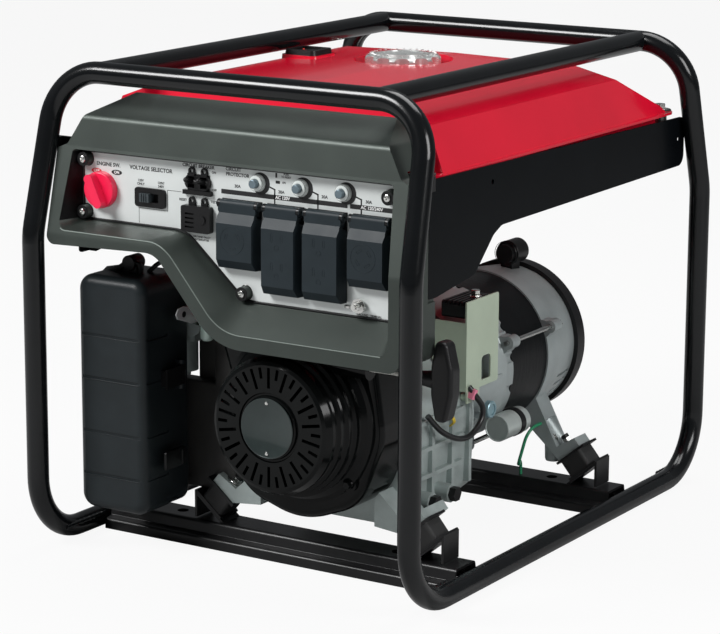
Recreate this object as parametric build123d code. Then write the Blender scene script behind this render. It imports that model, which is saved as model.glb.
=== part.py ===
from build123d import *
import math
import os

os.makedirs("parts", exist_ok=True)

# Open-frame portable generator. Millimetres, +Z up. The origin is on the floor under the middle
# of the cage. -Y is the control panel's side, +X is the side with the starter grip.

# ------------------------------------------------------------------ driving sizes
CAGE_WIDTH = 505.0          # between the centrelines of the side tubes
CAGE_DEPTH = 700.0          # between the centrelines of the two hoops at the floor
CAGE_HEIGHT = 574.0         # floor to the top of the hoops
TUBE_R = 12.7
TOP_RAIL_R = 12.5
FOOT_BEND_R = 75.0
CORNER_BEND_R = 61.0
KINK_BEND_R = 90.0
KINK_Z = 377.0              # the uprights lean inwards above this height
LEAN_Y = 43.4
LEAN_X = 6.6
SPLIT_RUN = 5.0             # straight run left beside a bend where two tubes meet
WELD_GAP = 0.15

CRANK_X = 50.0              # crankshaft axis, along Y
CRANK_Z = 184.0
SHAFT_R = 12.5
RUNNING_FIT = 0.05
AIR_GAP = 0.7               # around parts that turn without touching
BODY_GAP = 0.3              # between pieces that only lie close

CROSS_HALF = 36.0           # half width of a cross-member
CROSS_TOP = 28.0
CROSS_WALL = 3.0
FRONT_MOUNT_Y = -205.0
REAR_MOUNT_Y = 164.0
MOUNT_SPREAD = 140.0        # from the crank axis to a rubber mount, sideways
MOUNT_Z = 55.0
MOUNT_TILT = 40.0
RUBBER_SIDE = 34.0
RUBBER_HEIGHT = 22.0
MOUNT_PLATE = 3.0
MOUNT_STUD_R = 5.0
LUG_WIDTH = 30.0

PANEL_Y = -310.0            # front face of the control plate
PLATE_T = 2.0
PLATE_HALF = 209.5
PLATE_TOP = 473.0
PLATE_LOW = 322.0
PLATE_STEP = 393.0          # lower edge of the plate's left half
BEZEL_FRONT_Y = -346.0
BEZEL_REAR_Y = -272.0
BEZEL_HALF = 236.0
BEZEL_SHOULDER_HALF = 222.0
BEZEL_SHOULDER_Z = 478.0
BEZEL_TOP_Z = 513.0
BEZEL_LOW = 275.0
HOOD_REAR_Y = -250.0
HOOD_REAR_Z = 535.0

TANK_HALF = 228.0
TANK_FRONT_Y = -244.0
TANK_REAR_Y = 300.0
FLANGE_Z = 475.0
FLANGE_T = 3.0
TANK_TOP_Z = 548.0
TANK_CREASE_Z = 526.0
TANK_LOW_Z = 392.0
TANK_WALL = 1.5
FILLER_X = -25.0
FILLER_Y = 86.0
CAP_R = 47.0

COVER_X = 236.0             # outer face of the side covers
COVER_T = 2.0
COVER_SEAT = COVER_X - COVER_T - BODY_GAP    # half width of what the covers lie against

# ------------------------------------------------------------------ helpers
STANDING = (Align.CENTER, Align.CENTER, Align.MIN)    # a round solid that rises from its plane
crank_frame = Plane(origin=(CRANK_X, 0, CRANK_Z), x_dir=(1, 0, 0), z_dir=(0, -1, 0))


def write(node, shapes):
    """One STEP file per node. A list of solids is one node of separate solids."""
    if isinstance(shapes, (list, tuple)):
        solids = [s for shape in shapes for s in shape.solids()]
    else:
        solids = shapes.solids()
    export_step(Compound(children=solids) if len(solids) > 1 else solids[0], f"parts/{node}.step")


def bent_path(points, radii):
    """Straight runs joined by tangent arcs, with one radius for each inner corner."""
    corners = [Vector(*p) for p in points]
    edges = []
    start = corners[0]
    for corner, following, radius in zip(corners[1:-1], corners[2:], radii):
        arrive = (corner - start).normalized()
        leave = (following - corner).normalized()
        half = math.radians(arrive.get_angle(leave)) / 2
        reach = radius * math.tan(half)
        sagitta = radius / math.cos(half) - radius
        first = corner - arrive * reach
        last = corner + leave * reach
        middle = corner + (leave - arrive).normalized() * sagitta
        edges += [Line(start, first), ThreePointArc(first, middle, last)]
        start = last
    edges.append(Line(start, corners[-1]))
    return Wire(edges)


def bent_tube(points, radii, radius):
    path = bent_path(points, radii)
    section = Plane(origin=path @ 0, z_dir=path % 0) * Circle(radius)
    return sweep(section, path)


def rod(start, end, radius):
    """Round bar between two points."""
    axis = Vector(*end) - Vector(*start)
    return Plane(origin=start, z_dir=axis) * Cylinder(radius, axis.length, align=STANDING)


def box(x0, x1, y0, y1, z0, z1):
    """Box between two corners."""
    centre = ((x0 + x1) / 2, (y0 + y1) / 2, (z0 + z1) / 2)
    return Pos(*centre) * Box(x1 - x0, y1 - y0, z1 - z0)


def xz_prism(points, y0, y1, radii=None):
    """Outline in x and z, extruded from y0 to y1. Corners are rounded where radii are given."""
    if radii is None:
        wire = Polyline(*points, close=True)
    else:
        wire = FilletPolyline(*points, radius=radii, close=True)
    face = make_face(Plane(origin=(0, y0, 0), x_dir=(1, 0, 0), z_dir=(0, -1, 0)) * wire)
    return extrude(face, amount=y1 - y0, dir=(0, 1, 0))


def yz_prism(points, x0, x1, radii=None):
    """Outline in y and z, extruded from x0 to x1."""
    if radii is None:
        wire = Polyline(*points, close=True)
    else:
        wire = FilletPolyline(*points, radius=radii, close=True)
    face = make_face(Plane(origin=(x0, 0, 0), x_dir=(0, 1, 0), z_dir=(1, 0, 0)) * wire)
    return extrude(face, amount=x1 - x0, dir=(1, 0, 0))


def z_prism(points, z0, z1):
    """Outline in x and y, extruded from z0 to z1."""
    return Pos(0, 0, z0) * extrude(make_face(Polyline(*points, close=True)), amount=z1 - z0, dir=(0, 0, 1))


def turned(profile):
    """Solid of revolution about the crank axis; the profile is (radius, y) pairs."""
    outline = Plane.XZ * Polyline(*[(r, -y) for r, y in profile], close=True)
    return crank_frame * revolve(make_face(outline), Axis.Z)


def on_crank(radius, angle, y):
    """Point at a radius and angle (degrees above +X) around the crank axis."""
    a = math.radians(angle)
    return (CRANK_X + radius * math.cos(a), y, CRANK_Z + radius * math.sin(a))


def panel_boss(x, z, radius, y0, y1):
    """Round part standing out of the panel along Y."""
    return rod((x, y0, z), (x, y1, z), radius)


# ------------------------------------------------------------------ cage
half_w = CAGE_WIDTH / 2
half_d = CAGE_DEPTH / 2
top_z = CAGE_HEIGHT - TUBE_R
corner_x = half_w - LEAN_X
corner_y = half_d - LEAN_Y
foot_split_y = half_d - FOOT_BEND_R - SPLIT_RUN


def hoop_split(side, end):
    """Where an upright ends and the hoop's top tube begins, just under the corner bend."""
    kink = Vector(side * half_w, end * half_d, KINK_Z)
    corner = Vector(side * corner_x, end * corner_y, top_z)
    rise = (corner - kink).normalized()
    turn = math.radians(rise.get_angle(Vector(-side, 0, 0)))
    return corner - rise * (CORNER_BEND_R * math.tan(turn / 2) + SPLIT_RUN)


def upright(side, end):
    points = [
        (side * half_w, end * foot_split_y, TUBE_R),
        (side * half_w, end * half_d, TUBE_R),
        (side * half_w, end * half_d, KINK_Z),
        tuple(hoop_split(side, end)),
    ]
    return bent_tube(points, [FOOT_BEND_R, KINK_BEND_R], TUBE_R)


def hoop_top(end):
    points = [
        tuple(hoop_split(-1, end)),
        (-corner_x, end * corner_y, top_z),
        (corner_x, end * corner_y, top_z),
        tuple(hoop_split(1, end)),
    ]
    return bent_tube(points, [CORNER_BEND_R, CORNER_BEND_R], TUBE_R)


def bottom_rail(side):
    return rod((side * half_w, -foot_split_y, TUBE_R), (side * half_w, foot_split_y, TUBE_R), TUBE_R)


front_hoop_top = hoop_top(-1)
rear_hoop_top = hoop_top(1)
top_rail_x = corner_x - CORNER_BEND_R


def top_rail(side):
    """Rail between the hoops, coped to their top tubes."""
    rail = rod((side * top_rail_x, -corner_y, top_z), (side * top_rail_x, corner_y, top_z), TOP_RAIL_R)
    return rail - front_hoop_top - rear_hoop_top


write("cage_side_left", [upright(-1, -1), bottom_rail(-1), upright(-1, 1)])
write("cage_side_right", [upright(1, -1), bottom_rail(1), upright(1, 1)])
write("cage_top", [front_hoop_top, rear_hoop_top, top_rail(-1), top_rail(1)])

# ------------------------------------------------------------------ cross-members and rubber mounts
cross_half_length = half_w - TUBE_R - WELD_GAP


def cross_member(y):
    """Pressed steel channel with stepped sides, welded between the bottom rails."""
    mid = CROSS_WALL / 2
    side = [(CROSS_HALF - mid, 0), (CROSS_HALF - mid, 11), (CROSS_HALF - 13, 13), (20, CROSS_TOP - mid)]
    points = [(y - a, z) for a, z in side] + [(y + a, z) for a, z in reversed(side)]
    path = FilletPolyline(*points, radius=[2.5, 2.5, 3, 3, 2.5, 2.5])
    end = Plane(origin=(-cross_half_length, 0, 0), x_dir=(0, 1, 0), z_dir=(1, 0, 0))
    section = end * trace(path, CROSS_WALL)
    channel = extrude(section, amount=2 * cross_half_length)
    for x in (-150, 150):
        channel -= Pos(x, y, CROSS_TOP) * Cylinder(7, 12)
    return channel


def mount_frame(side, y):
    """Frame at the middle of a rubber mount; its z runs up and inwards through the plates."""
    tilt = math.radians(MOUNT_TILT)
    origin = (CRANK_X + side * MOUNT_SPREAD, y, MOUNT_Z)
    return Plane(origin=origin, x_dir=(side * math.cos(tilt), 0, math.sin(tilt)),
                 z_dir=(-side * math.sin(tilt), 0, math.cos(tilt)))


mount_seats = [(side, y) for side in (-1, 1) for y in (FRONT_MOUNT_Y, REAR_MOUNT_Y)]
plate_offset = RUBBER_HEIGHT / 2 + MOUNT_PLATE / 2
lug_seat = RUBBER_HEIGHT / 2 + MOUNT_PLATE
lug_thick = 12.0


def mount_rubber(side, y):
    block = Box(RUBBER_SIDE, RUBBER_SIDE, RUBBER_HEIGHT)
    return mount_frame(side, y) * fillet(block.edges().filter_by(Axis.Z), 5)


def mount_plates(side, y):
    """Two steel plates bonded to the rubber, wider than it on the outside, and the upper stud."""
    wide = Box(RUBBER_SIDE + 12, RUBBER_SIDE + 2, MOUNT_PLATE)
    stud = Pos(0, 0, lug_seat) * Cylinder(MOUNT_STUD_R, lug_thick + 12, align=STANDING)
    upper = Pos(2, 0, plate_offset) * wide + stud
    lower = Pos(4, 0, -plate_offset) * wide
    frame = mount_frame(side, y)
    return [frame * upper, frame * lower]


def mount_bracket(side, y):
    """Bent plate on the cross-member whose slope carries the mount's lower plate."""
    frame = mount_frame(side, y)
    half_t = CROSS_WALL / 2
    low = frame.from_local_coords((-21, 0, -lug_seat - half_t))
    high = frame.from_local_coords((25, 0, -lug_seat - half_t))
    base_z = CROSS_TOP + half_t
    rise = (high - low)
    knee_x = low.X + rise.X * (base_z - low.Z) / rise.Z
    points = [(knee_x - side * 20, base_z), (knee_x, base_z), (high.X, high.Z), (high.X, base_z)]
    edge = Plane(origin=(0, y - 17, 0), x_dir=(1, 0, 0), z_dir=(0, -1, 0))
    section = edge * trace(Polyline(*points), CROSS_WALL)
    plate = extrude(section, amount=-34)
    keep_above = box(-300, 300, y - 40, y + 40, CROSS_TOP, 200)
    under_plate = frame * (Pos(0, 0, -lug_seat + 20) * Box(90, 60, 40))
    return (plate & keep_above) - under_plate


write("mount_rubbers", [mount_rubber(s, y) for s, y in mount_seats])
write("mount_plates", [p for s, y in mount_seats for p in mount_plates(s, y)])


def mount_lug(side, y, root, y0, y1):
    """Cast arm from a root outline (x, z pairs) to the mount's upper plate, bored for its stud."""
    frame = mount_frame(side, y)
    tips = [frame.from_local_coords((a, 0, c)) for a, c in
            ((-18, lug_seat), (18, lug_seat), (18, lug_seat + lug_thick), (-10, lug_seat + lug_thick + 4))]
    low_in, low_out, high_out, high_in = [(t.X, t.Z) for t in tips]
    arm = xz_prism([root[0], low_in, low_out, high_out, high_in, root[1]], y0, y1)
    spot = Pos(0, 0, lug_seat + lug_thick + 20) * Cylinder(12, 40)
    bore = Cylinder(MOUNT_STUD_R + 0.4, 120)
    return arm - frame * spot - frame * bore


# ------------------------------------------------------------------ engine
CASE_FRONT_Y = -190.0
CASE_REAR_Y = -20.0
CASE_LOW_Z = 52.0
CYLINDER_Y = -100.0
CYLINDER_SLANT = 25.0
BEARING_R = 26.0
BEARING_W = 15.0
HEAD_REACH = 128.0          # crank axis to the head's joint
FAN_MIDDLE_Z = 172.0
OIL_PLUGS = ((-142, 72), (-98, 72))    # y and z of the filler and the drain
slant = math.radians(CYLINDER_SLANT)
cylinder_frame = Plane(origin=(CRANK_X, CYLINDER_Y, CRANK_Z), x_dir=(0, 1, 0),
                       z_dir=(-math.cos(slant), 0, math.sin(slant)))


def fin_plate(reach, half_y, half_x, thick):
    """One cooling fin across the cylinder's axis."""
    plate = Box(2 * half_y, 2 * half_x, thick)
    return cylinder_frame * (Pos(0, 0, reach) * fillet(plate.edges().filter_by(Axis.Z), 14))


def fan_outline(scale, y0, y1):
    """Outline of the fan housing, scaled about its middle."""
    points = [(-70, 286), (-46, 214), (-58, 150), (-30, 84), (50, 58), (128, 88), (160, 170), (146, 262),
              (84, 292)]
    radii = [16, 40, 60, 60, 95, 60, 60, 34, 40]
    scaled = [(CRANK_X + (x - CRANK_X) * scale, FAN_MIDDLE_Z + (z - FAN_MIDDLE_Z) * scale) for x, z in points]
    return xz_prism(scaled, y0, y1, radii)


def crankcase():
    body = xz_prism(
        [(-34, 60), (-18, CASE_LOW_Z), (122, CASE_LOW_Z), (138, 66), (142, 150), (139, 186), (101, 214),
         (86, 262), (20, 262), (-22, 232), (-34, 140)],
        CASE_FRONT_Y, CASE_REAR_Y, radii=[8, 8, 8, 14, 20, 16, 16, 20, 26, 26, 14])
    body += xz_prism([(-18, 70), (120, 70), (124, 180), (94, 208), (80, 246), (18, 246), (-14, 220)],
                     CASE_REAR_Y - 60, CASE_REAR_Y + 8, radii=[20, 20, 16, 16, 16, 26, 34])
    barrel = cylinder_frame * Pos(0, 0, 60) * Cylinder(46, HEAD_REACH - 60, align=STANDING)
    body += barrel
    for i in range(5):
        body += fin_plate(88 + 9 * i, 62, 58, 3)
    for z in (96, 128, 160):
        body += box(134, 146, CASE_FRONT_Y + 20, CASE_REAR_Y - 30, z, z + 5)
    for y in (-165, -120, -75, -35):
        body += box(134, 146, y - 3, y + 3, 70, 168)
    for y, z in OIL_PLUGS:
        body += rod((120, y, z), (158, y, z), 11)
    front_lugs = [mount_lug(1, FRONT_MOUNT_Y, ((128, 58), (128, 104)), FRONT_MOUNT_Y - LUG_WIDTH / 2,
                            CASE_FRONT_Y + 22),
                  mount_lug(-1, FRONT_MOUNT_Y, ((-28, 58), (-28, 104)), FRONT_MOUNT_Y - LUG_WIDTH / 2,
                            CASE_FRONT_Y + 22)]
    for lug in front_lugs:
        body += lug - fan_outline(1.03, -300, CASE_FRONT_Y)
    body -= turned([(0, -400), (SHAFT_R + AIR_GAP, -400), (SHAFT_R + AIR_GAP, 100), (0, 100)])
    for y0 in (CASE_FRONT_Y - 1, CASE_REAR_Y + 8 - BEARING_W):
        seat = BEARING_R + 0.02
        body -= turned([(0, y0), (seat, y0), (seat, y0 + BEARING_W + 1), (0, y0 + BEARING_W + 1)])
    for y, z in OIL_PLUGS:
        body -= rod((136, y, z), (160, y, z), 7.2)
    return body


def bearing(y0, inner=SHAFT_R + RUNNING_FIT):
    return turned([(inner, y0), (BEARING_R, y0), (BEARING_R, y0 + BEARING_W), (inner, y0 + BEARING_W)])


def cylinder_head():
    """Finned head with its rocker cover bolted on."""
    block = fillet(Box(116, 104, 32).edges().filter_by(Axis.Z), 16)
    head = cylinder_frame * Pos(0, 0, HEAD_REACH + 16) * block
    for i in range(3):
        head += fin_plate(HEAD_REACH + 4 + 11 * i, 66, 60, 3)
    return head


def rocker_cover():
    start = HEAD_REACH + 32
    cover = extrude(RectangleRounded(104, 88, 18), amount=26, taper=8)
    cover = fillet(cover.faces().sort_by(Axis.Z)[-1].edges(), 6)
    cover = Pos(0, 0, start) * cover
    for x, y in ((-44, -36), (44, -36), (-44, 36), (44, 36)):
        cover += Pos(x, y, start) * Cylinder(7, 8, align=STANDING)
    return cylinder_frame * cover


def oil_plug(y, z):
    """Threaded filler or drain plug with a hexagon head, screwed into the crankcase's side."""
    frame = Plane(origin=(158 + BODY_GAP, y, z), x_dir=(0, 1, 0), z_dir=(1, 0, 0))
    head = extrude(RegularPolygon(9, 6), amount=8)
    shank = Pos(0, 0, -20) * Cylinder(7, 20, align=STANDING)
    return frame * (head + shank)


write("crankcase", crankcase())
write("cylinder_head", [cylinder_head(), rocker_cover()])
write("oil_plugs", [oil_plug(y, z) for y, z in OIL_PLUGS])

# ------------------------------------------------------------------ fan housing and recoil starter
HOUSING_FRONT_Y = -255.0
HOUSING_WALL = 2.5
HOUSING_INNER = 0.955       # size of the hollow against the outline
RECOIL_FRONT_Y = -318.0
RECOIL_MOUTH_R = 90.0
RECOIL_FLANGE_R = 100.0
BADGE_R = 37.0
SLOT_COUNT = 36
SLOT_WIDTH = 3.8
SLOT_OUTER_R = 68.5
PULLEY_Y = -268.0           # middle of the rope groove
ROPE_R = 2.2
ROPE_LINE_R = 70.0          # radius at which the rope leaves the pulley
GUIDE_END_X = 152.0
GRIP_X = 247.5
GRIP_HALF = 45.0            # half the grip's length
GRIP_BULGE = 13.5           # from its middle to its outer side
FAN_R = 84.0
FAN_BLADES = 14
POST_R = 8.0


def fan_housing():
    """Pressed cowl over the flywheel's fan; it leads the air across the cylinder."""
    shell = fan_outline(1, HOUSING_FRONT_Y, CASE_FRONT_Y - BODY_GAP)
    shell = fillet(shell.faces().sort_by(Axis.Y)[0].edges(), 9)
    shell -= fan_outline(HOUSING_INNER, HOUSING_FRONT_Y + HOUSING_WALL, CASE_FRONT_Y + 1)
    mouth = turned([(0, -300), (RECOIL_MOUTH_R, -300), (RECOIL_MOUTH_R, -240), (0, -240)])
    shell -= mouth
    shell -= box(40, 60, -212, -180, 40, 72)
    return shell


def recoil_cover():
    """Slotted cover of the recoil starter: a stepped drum with a post for the rope pulley inside."""
    f = RECOIL_FRONT_Y
    outer = [(0, f + 2), (BADGE_R + 2, f + 2), (BADGE_R + 3, f), (71, f), (75, f + 2), (77, f + 6)]
    inner = [(RECOIL_FLANGE_R - 8, HOUSING_FRONT_Y)]
    ridge_pitch = 11.0
    for i in range(4):
        y = f + 10 + ridge_pitch * i
        r = 79 + 3.4 * i
        outer += [(r, y), (r, y + 5), (r - 2, y + 6.5), (r - 0.5, y + ridge_pitch - 1.5)]
    outer += [(RECOIL_FLANGE_R - 5, HOUSING_FRONT_Y - 6), (RECOIL_FLANGE_R, HOUSING_FRONT_Y - 5),
              (RECOIL_FLANGE_R, HOUSING_FRONT_Y)]
    inner += [(87, HOUSING_FRONT_Y - 6), (74, f + 10), (70, f + 4), (POST_R + 6, f + 4),
              (POST_R + 4, PULLEY_Y - 12), (POST_R, PULLEY_Y - 12), (POST_R, PULLEY_Y + 10), (0, PULLEY_Y + 10)]
    cover = turned(outer + inner)
    for i in range(SLOT_COUNT):
        inner_r = 45 if i % 2 else 56
        slot = Box(SLOT_OUTER_R - inner_r, SLOT_WIDTH, 12)
        place = Rot(0, 0, 360 / SLOT_COUNT * i) * Pos((SLOT_OUTER_R + inner_r) / 2, 0, -f)
        cover -= crank_frame * place * slot
    guide_z = CRANK_Z + ROPE_LINE_R
    guide = rod((104, PULLEY_Y, guide_z), (GUIDE_END_X, PULLEY_Y, guide_z), 12)
    guide -= turned([(0, -330), (86, -330), (86, -200), (0, -200)])
    cover += guide
    cover -= rod((90, PULLEY_Y, guide_z), (GUIDE_END_X + 2, PULLEY_Y, guide_z), ROPE_R + 1)
    for angle in (75, 195, 315):
        ear = rod(on_crank(97, angle, HOUSING_FRONT_Y - 4), on_crank(97, angle, HOUSING_FRONT_Y), 9)
        cover += ear - turned([(0, -330), (90, -330), (90, -200), (0, -200)])
    return cover


def recoil_badge():
    """Plain dished disc pressed into the middle of the starter's cover."""
    f = RECOIL_FRONT_Y + 2
    disc = turned([(0, f - 4.5), (BADGE_R - 6, f - 4), (BADGE_R - 1, f - 2), (BADGE_R, f), (0, f)])
    for angle in (90, 270):
        disc += rod(on_crank(BADGE_R - 8, angle, f - 5.4), on_crank(BADGE_R - 8, angle, f - 2), 1.8)
    return disc


def starter_pulley():
    """Grooved rope pulley with a spoked web."""
    y0, y1 = PULLEY_Y - 7, PULLEY_Y + 7
    bore = POST_R + RUNNING_FIT
    groove = ROPE_LINE_R - ROPE_R - 0.4
    rim = ROPE_LINE_R + 5
    wheel = turned([(bore, y0), (rim, y0), (groove, PULLEY_Y - 3.4), (groove, PULLEY_Y + 3.4), (rim, y1),
                    (bore, y1)])
    for i in range(6):
        window = Pos(36, 0, -PULLEY_Y) * Cylinder(10, 30)
        wheel -= crank_frame * Rot(0, 0, 60 * i) * window
    return wheel


def starter_rope():
    z = CRANK_Z + ROPE_LINE_R
    return rod((CRANK_X, PULLEY_Y, z), (GRIP_X - 14, PULLEY_Y, z), ROPE_R)


def recoil_grip():
    """D-shaped rubber grip with a bulging outer side and a thick neck; the rope ends inside it."""
    z = CRANK_Z + ROPE_LINE_R
    half, out = GRIP_HALF, GRIP_BULGE
    outline = [(-8, half), (6, half), (out, 14), (out, -14), (6, -half), (-8, -half), (-out, -16), (-out, 16)]
    points = [(GRIP_X + x, z + dz) for x, dz in outline]
    bar = xz_prism(points, PULLEY_Y - 11, PULLEY_Y + 11, radii=[6, 8, 30, 30, 8, 6, 24, 24])
    bar = fillet(bar.faces().filter_by(Axis.Y).edges(), 5)
    neck = Plane(origin=(GRIP_X - out - 16, PULLEY_Y, z), z_dir=(1, 0, 0)) * Cone(
        8, 10.8, 20, align=STANDING)
    return bar + neck - rod((CRANK_X, PULLEY_Y, z), (GRIP_X - 14, PULLEY_Y, z), ROPE_R)


def flywheel_fan():
    """Cast flywheel with cooling blades on its front and a starter cup."""
    wheel = turned([(SHAFT_R, -228), (FAN_R, -228), (FAN_R, -204), (70, -204), (66, -214), (28, -214),
                    (24, -198), (SHAFT_R, -198)])
    wheel += turned([(SHAFT_R, -240), (20, -240), (24, -228), (SHAFT_R, -228)])
    for i in range(FAN_BLADES):
        blade = Pos(64, 0, 237) * Rot(0, 0, 28) * Box(36, 3.2, 20)
        wheel += crank_frame * Rot(0, 0, 360 / FAN_BLADES * i) * blade
    return wheel


write("fan_housing", fan_housing())
write("recoil_cover", [recoil_cover(), recoil_badge()])
write("starter_pulley", starter_pulley())
write("starter_rope", starter_rope())
write("recoil_grip", recoil_grip())
write("flywheel_fan", flywheel_fan())

# ------------------------------------------------------------------ alternator
BELL_REAR_Y = 62.0
STATOR_REAR_Y = 150.0
STATOR_R = 97.0
STATOR_BORE_R = 60.6
ROTOR_R = STATOR_BORE_R - AIR_GAP
HOUSING_REAR_Y = 238.0
THROUGH_BOLT_R = 107.0
THROUGH_ANGLES = (21, 111, 201, 291)
THROUGH_BOLT_RADIUS = 3.0


def through_holes(shape, y0, y1):
    for angle in THROUGH_ANGLES:
        shape -= rod(on_crank(THROUGH_BOLT_R, angle, y0), on_crank(THROUGH_BOLT_R, angle, y1),
                     THROUGH_BOLT_RADIUS + 0.3)
    return shape


def bolt_ears(y0, y1):
    """Tapered ears that carry the through bolts, as one shape."""
    ears = None
    for angle in THROUGH_ANGLES:
        ear = rod(on_crank(THROUGH_BOLT_R, angle, y0), on_crank(THROUGH_BOLT_R, angle, y1), 8)
        web = rod(on_crank(THROUGH_BOLT_R - 10, angle, y0), on_crank(THROUGH_BOLT_R - 10, angle, y1), 11)
        ears = ear + web if ears is None else ears + ear + web
    return ears


def alternator_front_housing():
    """Cast bell between the crankcase and the stator, with ribs and a scalloped rim."""
    front = CASE_REAR_Y + 8
    bell = turned([(60, front), (82, front), (84, front + 8), (95, 34), (99, 46), (99, BELL_REAR_Y),
                   (91, BELL_REAR_Y), (90, 36), (78, front + 10), (60, front + 10)])
    bell += bolt_ears(44, BELL_REAR_Y) - turned([(0, 0), (92, 0), (92, 80), (0, 80)])
    for i in range(16):
        notch = Pos(102, 0, -BELL_REAR_Y) * Cylinder(6.5, 26)
        angle = 360 / 16 * i + 10
        bell -= crank_frame * Rot(0, 0, angle) * notch
    for i in range(12):
        rib = Pos(89, 0, -18) * Box(16, 4, 44)
        bell += (crank_frame * Rot(0, 0, 30 * i) * rib) - turned([(0, -60), (88, -60), (88, 90), (0, 90)])
    return through_holes(bell, 30, 80)


def stator_core():
    """Laminated ring with slots in its bore."""
    core = turned([(STATOR_BORE_R, BELL_REAR_Y), (STATOR_R, BELL_REAR_Y), (STATOR_R, STATOR_REAR_Y),
                   (STATOR_BORE_R, STATOR_REAR_Y)])
    return core


def stator_coils():
    """Wound end turns in front of and behind the core."""
    front = turned([(64, BELL_REAR_Y - 16), (86, BELL_REAR_Y - 16), (88, BELL_REAR_Y - 8), (86, BELL_REAR_Y),
                    (64, BELL_REAR_Y), (62.5, BELL_REAR_Y - 8)])
    rear = turned([(64, STATOR_REAR_Y), (86, STATOR_REAR_Y), (87, STATOR_REAR_Y + 10),
                   (84, STATOR_REAR_Y + 18), (66, STATOR_REAR_Y + 18), (62.5, STATOR_REAR_Y + 9)])
    return [front, rear]


def crank_rotor():
    """Crankshaft with the alternator's four-pole rotor and its slip rings pressed on."""
    shaft = turned([(0, -248), (SHAFT_R, -248), (SHAFT_R, HOUSING_REAR_Y - 4), (0, HOUSING_REAR_Y - 4)])
    core = turned([(0, 66), (ROTOR_R, 66), (ROTOR_R, 146), (0, 146)])
    for i in range(4):
        gap = Pos(ROTOR_R, 0, -106) * Box(30, 24, 90)
        core -= crank_frame * Rot(0, 0, 90 * i + 45) * gap
    rings = turned([(0, 186), (22, 186), (22, 208), (0, 208)])
    return shaft + core + rings


def alternator_rear_housing():
    """Cast rear frame: louvred drum, bearing seat and two arms down to the rubber mounts."""
    r, rear = STATOR_R, HOUSING_REAR_Y
    drum = turned([(r - 8, STATOR_REAR_Y), (r + 2, STATOR_REAR_Y), (r + 1, 172), (r - 5, rear - 8),
                   (r - 8, rear), (SHAFT_R + 2, rear), (SHAFT_R + 2, rear - BEARING_W - 3),
                   (BEARING_R + 7, rear - BEARING_W - 3),
                   (BEARING_R + 10, rear - 6), (r - 12, rear - 6), (r - 7, 176)])
    drum -= turned([(0, rear - BEARING_W - 4), (BEARING_R + 0.02, rear - BEARING_W - 4),
                    (BEARING_R + 0.02, rear - 4), (0, rear - 4)])
    drum += bolt_ears(STATOR_REAR_Y, 168) - turned([(0, 100), (r - 6, 100), (r - 6, 200), (0, 200)])
    for side in (-1, 1):
        root = ((CRANK_X + side * 56, 108), (CRANK_X + side * 80, 134))
        arm = mount_lug(side, REAR_MOUNT_Y, root, STATOR_REAR_Y, REAR_MOUNT_Y + LUG_WIDTH / 2)
        drum += arm - turned([(0, 100), (r - 3, 100), (r - 3, 200), (0, 200)])
    for first in (-64, 196):
        for i in range(7):
            slot = Pos(r - 5, 0, -208) * Box(30, 4.2, 34)
            drum -= crank_frame * Rot(0, 0, first + 7.2 * i) * slot
    return through_holes(drum, 130, 180)


def alternator_end_cover():
    """Moulded cap over the rear of the alternator with an open middle for the air."""
    r, seat, rear = STATOR_R + 1, STATOR_R - 5 + BODY_GAP, HOUSING_REAR_Y
    cap = turned([(seat, rear - 8), (r, rear - 8), (r, rear + 10), (r - 4, rear + 14), (30, rear + 14),
                  (30, rear + 12), (seat, rear + 12)])
    for i in range(18):
        vent = Pos(62, 0, -(rear + 12)) * Box(34, 5, 12)
        cap -= crank_frame * Rot(0, 0, 20 * i) * vent
    hub = turned([(34, rear), (40, rear), (40, rear + 12), (34, rear + 12)])
    return cap + hub


def through_bolt(angle):
    head_y = 168
    r = THROUGH_BOLT_R
    bolt = rod(on_crank(r, angle, 40), on_crank(r, angle, head_y), THROUGH_BOLT_RADIUS)
    frame = Plane(origin=on_crank(THROUGH_BOLT_R, angle, head_y), x_dir=(1, 0, 0), z_dir=(0, 1, 0))
    return bolt + frame * extrude(RegularPolygon(6, 6), amount=5)


def lead_box():
    """Round cap on top of the alternator where its leads come out, on a short bracket."""
    x, z = 62, 297
    cap = rod((x, 200, z), (x, 226, z), 15.5) + rod((x, 190, z), (x, 200, z), 12)
    bracket = box(x - 8, x + 8, 196, 216, 262, z - 10)
    drum = [(STATOR_R + 2, STATOR_REAR_Y), (STATOR_R + 1, 172), (STATOR_R - 5, HOUSING_REAR_Y - 8)]
    room = [(0, STATOR_REAR_Y)] + [(r + BODY_GAP, y) for r, y in drum] + [(0, HOUSING_REAR_Y - 8)]
    return cap + (bracket - turned(room))


write("alternator_front_housing", alternator_front_housing())
write("stator", [stator_core()] + stator_coils())
write("crank_rotor", crank_rotor())
write("alternator_rear_housing", alternator_rear_housing())
write("shaft_bearings", [bearing(CASE_FRONT_Y), bearing(CASE_REAR_Y + 8 - BEARING_W),
                         bearing(HOUSING_REAR_Y - BEARING_W - 4)])
write("alternator_end_cover", alternator_end_cover())
write("through_bolts", [through_bolt(a) for a in THROUGH_ANGLES])
write("lead_box", lead_box())

# ------------------------------------------------------------------ carburettor, air cleaner, exhaust
CLEANER_LEFT, CLEANER_RIGHT = -222.0, -126.0
CLEANER_FRONT_Y = -312.0
CLEANER_JOINT_Y = -258.0
CLEANER_REAR_Y = -222.0
CLEANER_LOW_Z, CLEANER_TOP_Z = 48.0, 327.0
CLEANER_WALL = 2.5
CLEANER_GROOVES = (92, 143, 207, 258)
INTAKE_X = -146.0
INTAKE_Z = 262.0
INTAKE_R = 12.0
CARB_REAR_Y = -186.0
PORT_X, PORT_Z = -88.0, 249.0    # inlet port in the head
PORT_Y = -166.3
LATCH_Z = 208.0
LATCH_PIN_R = 2.0


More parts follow.
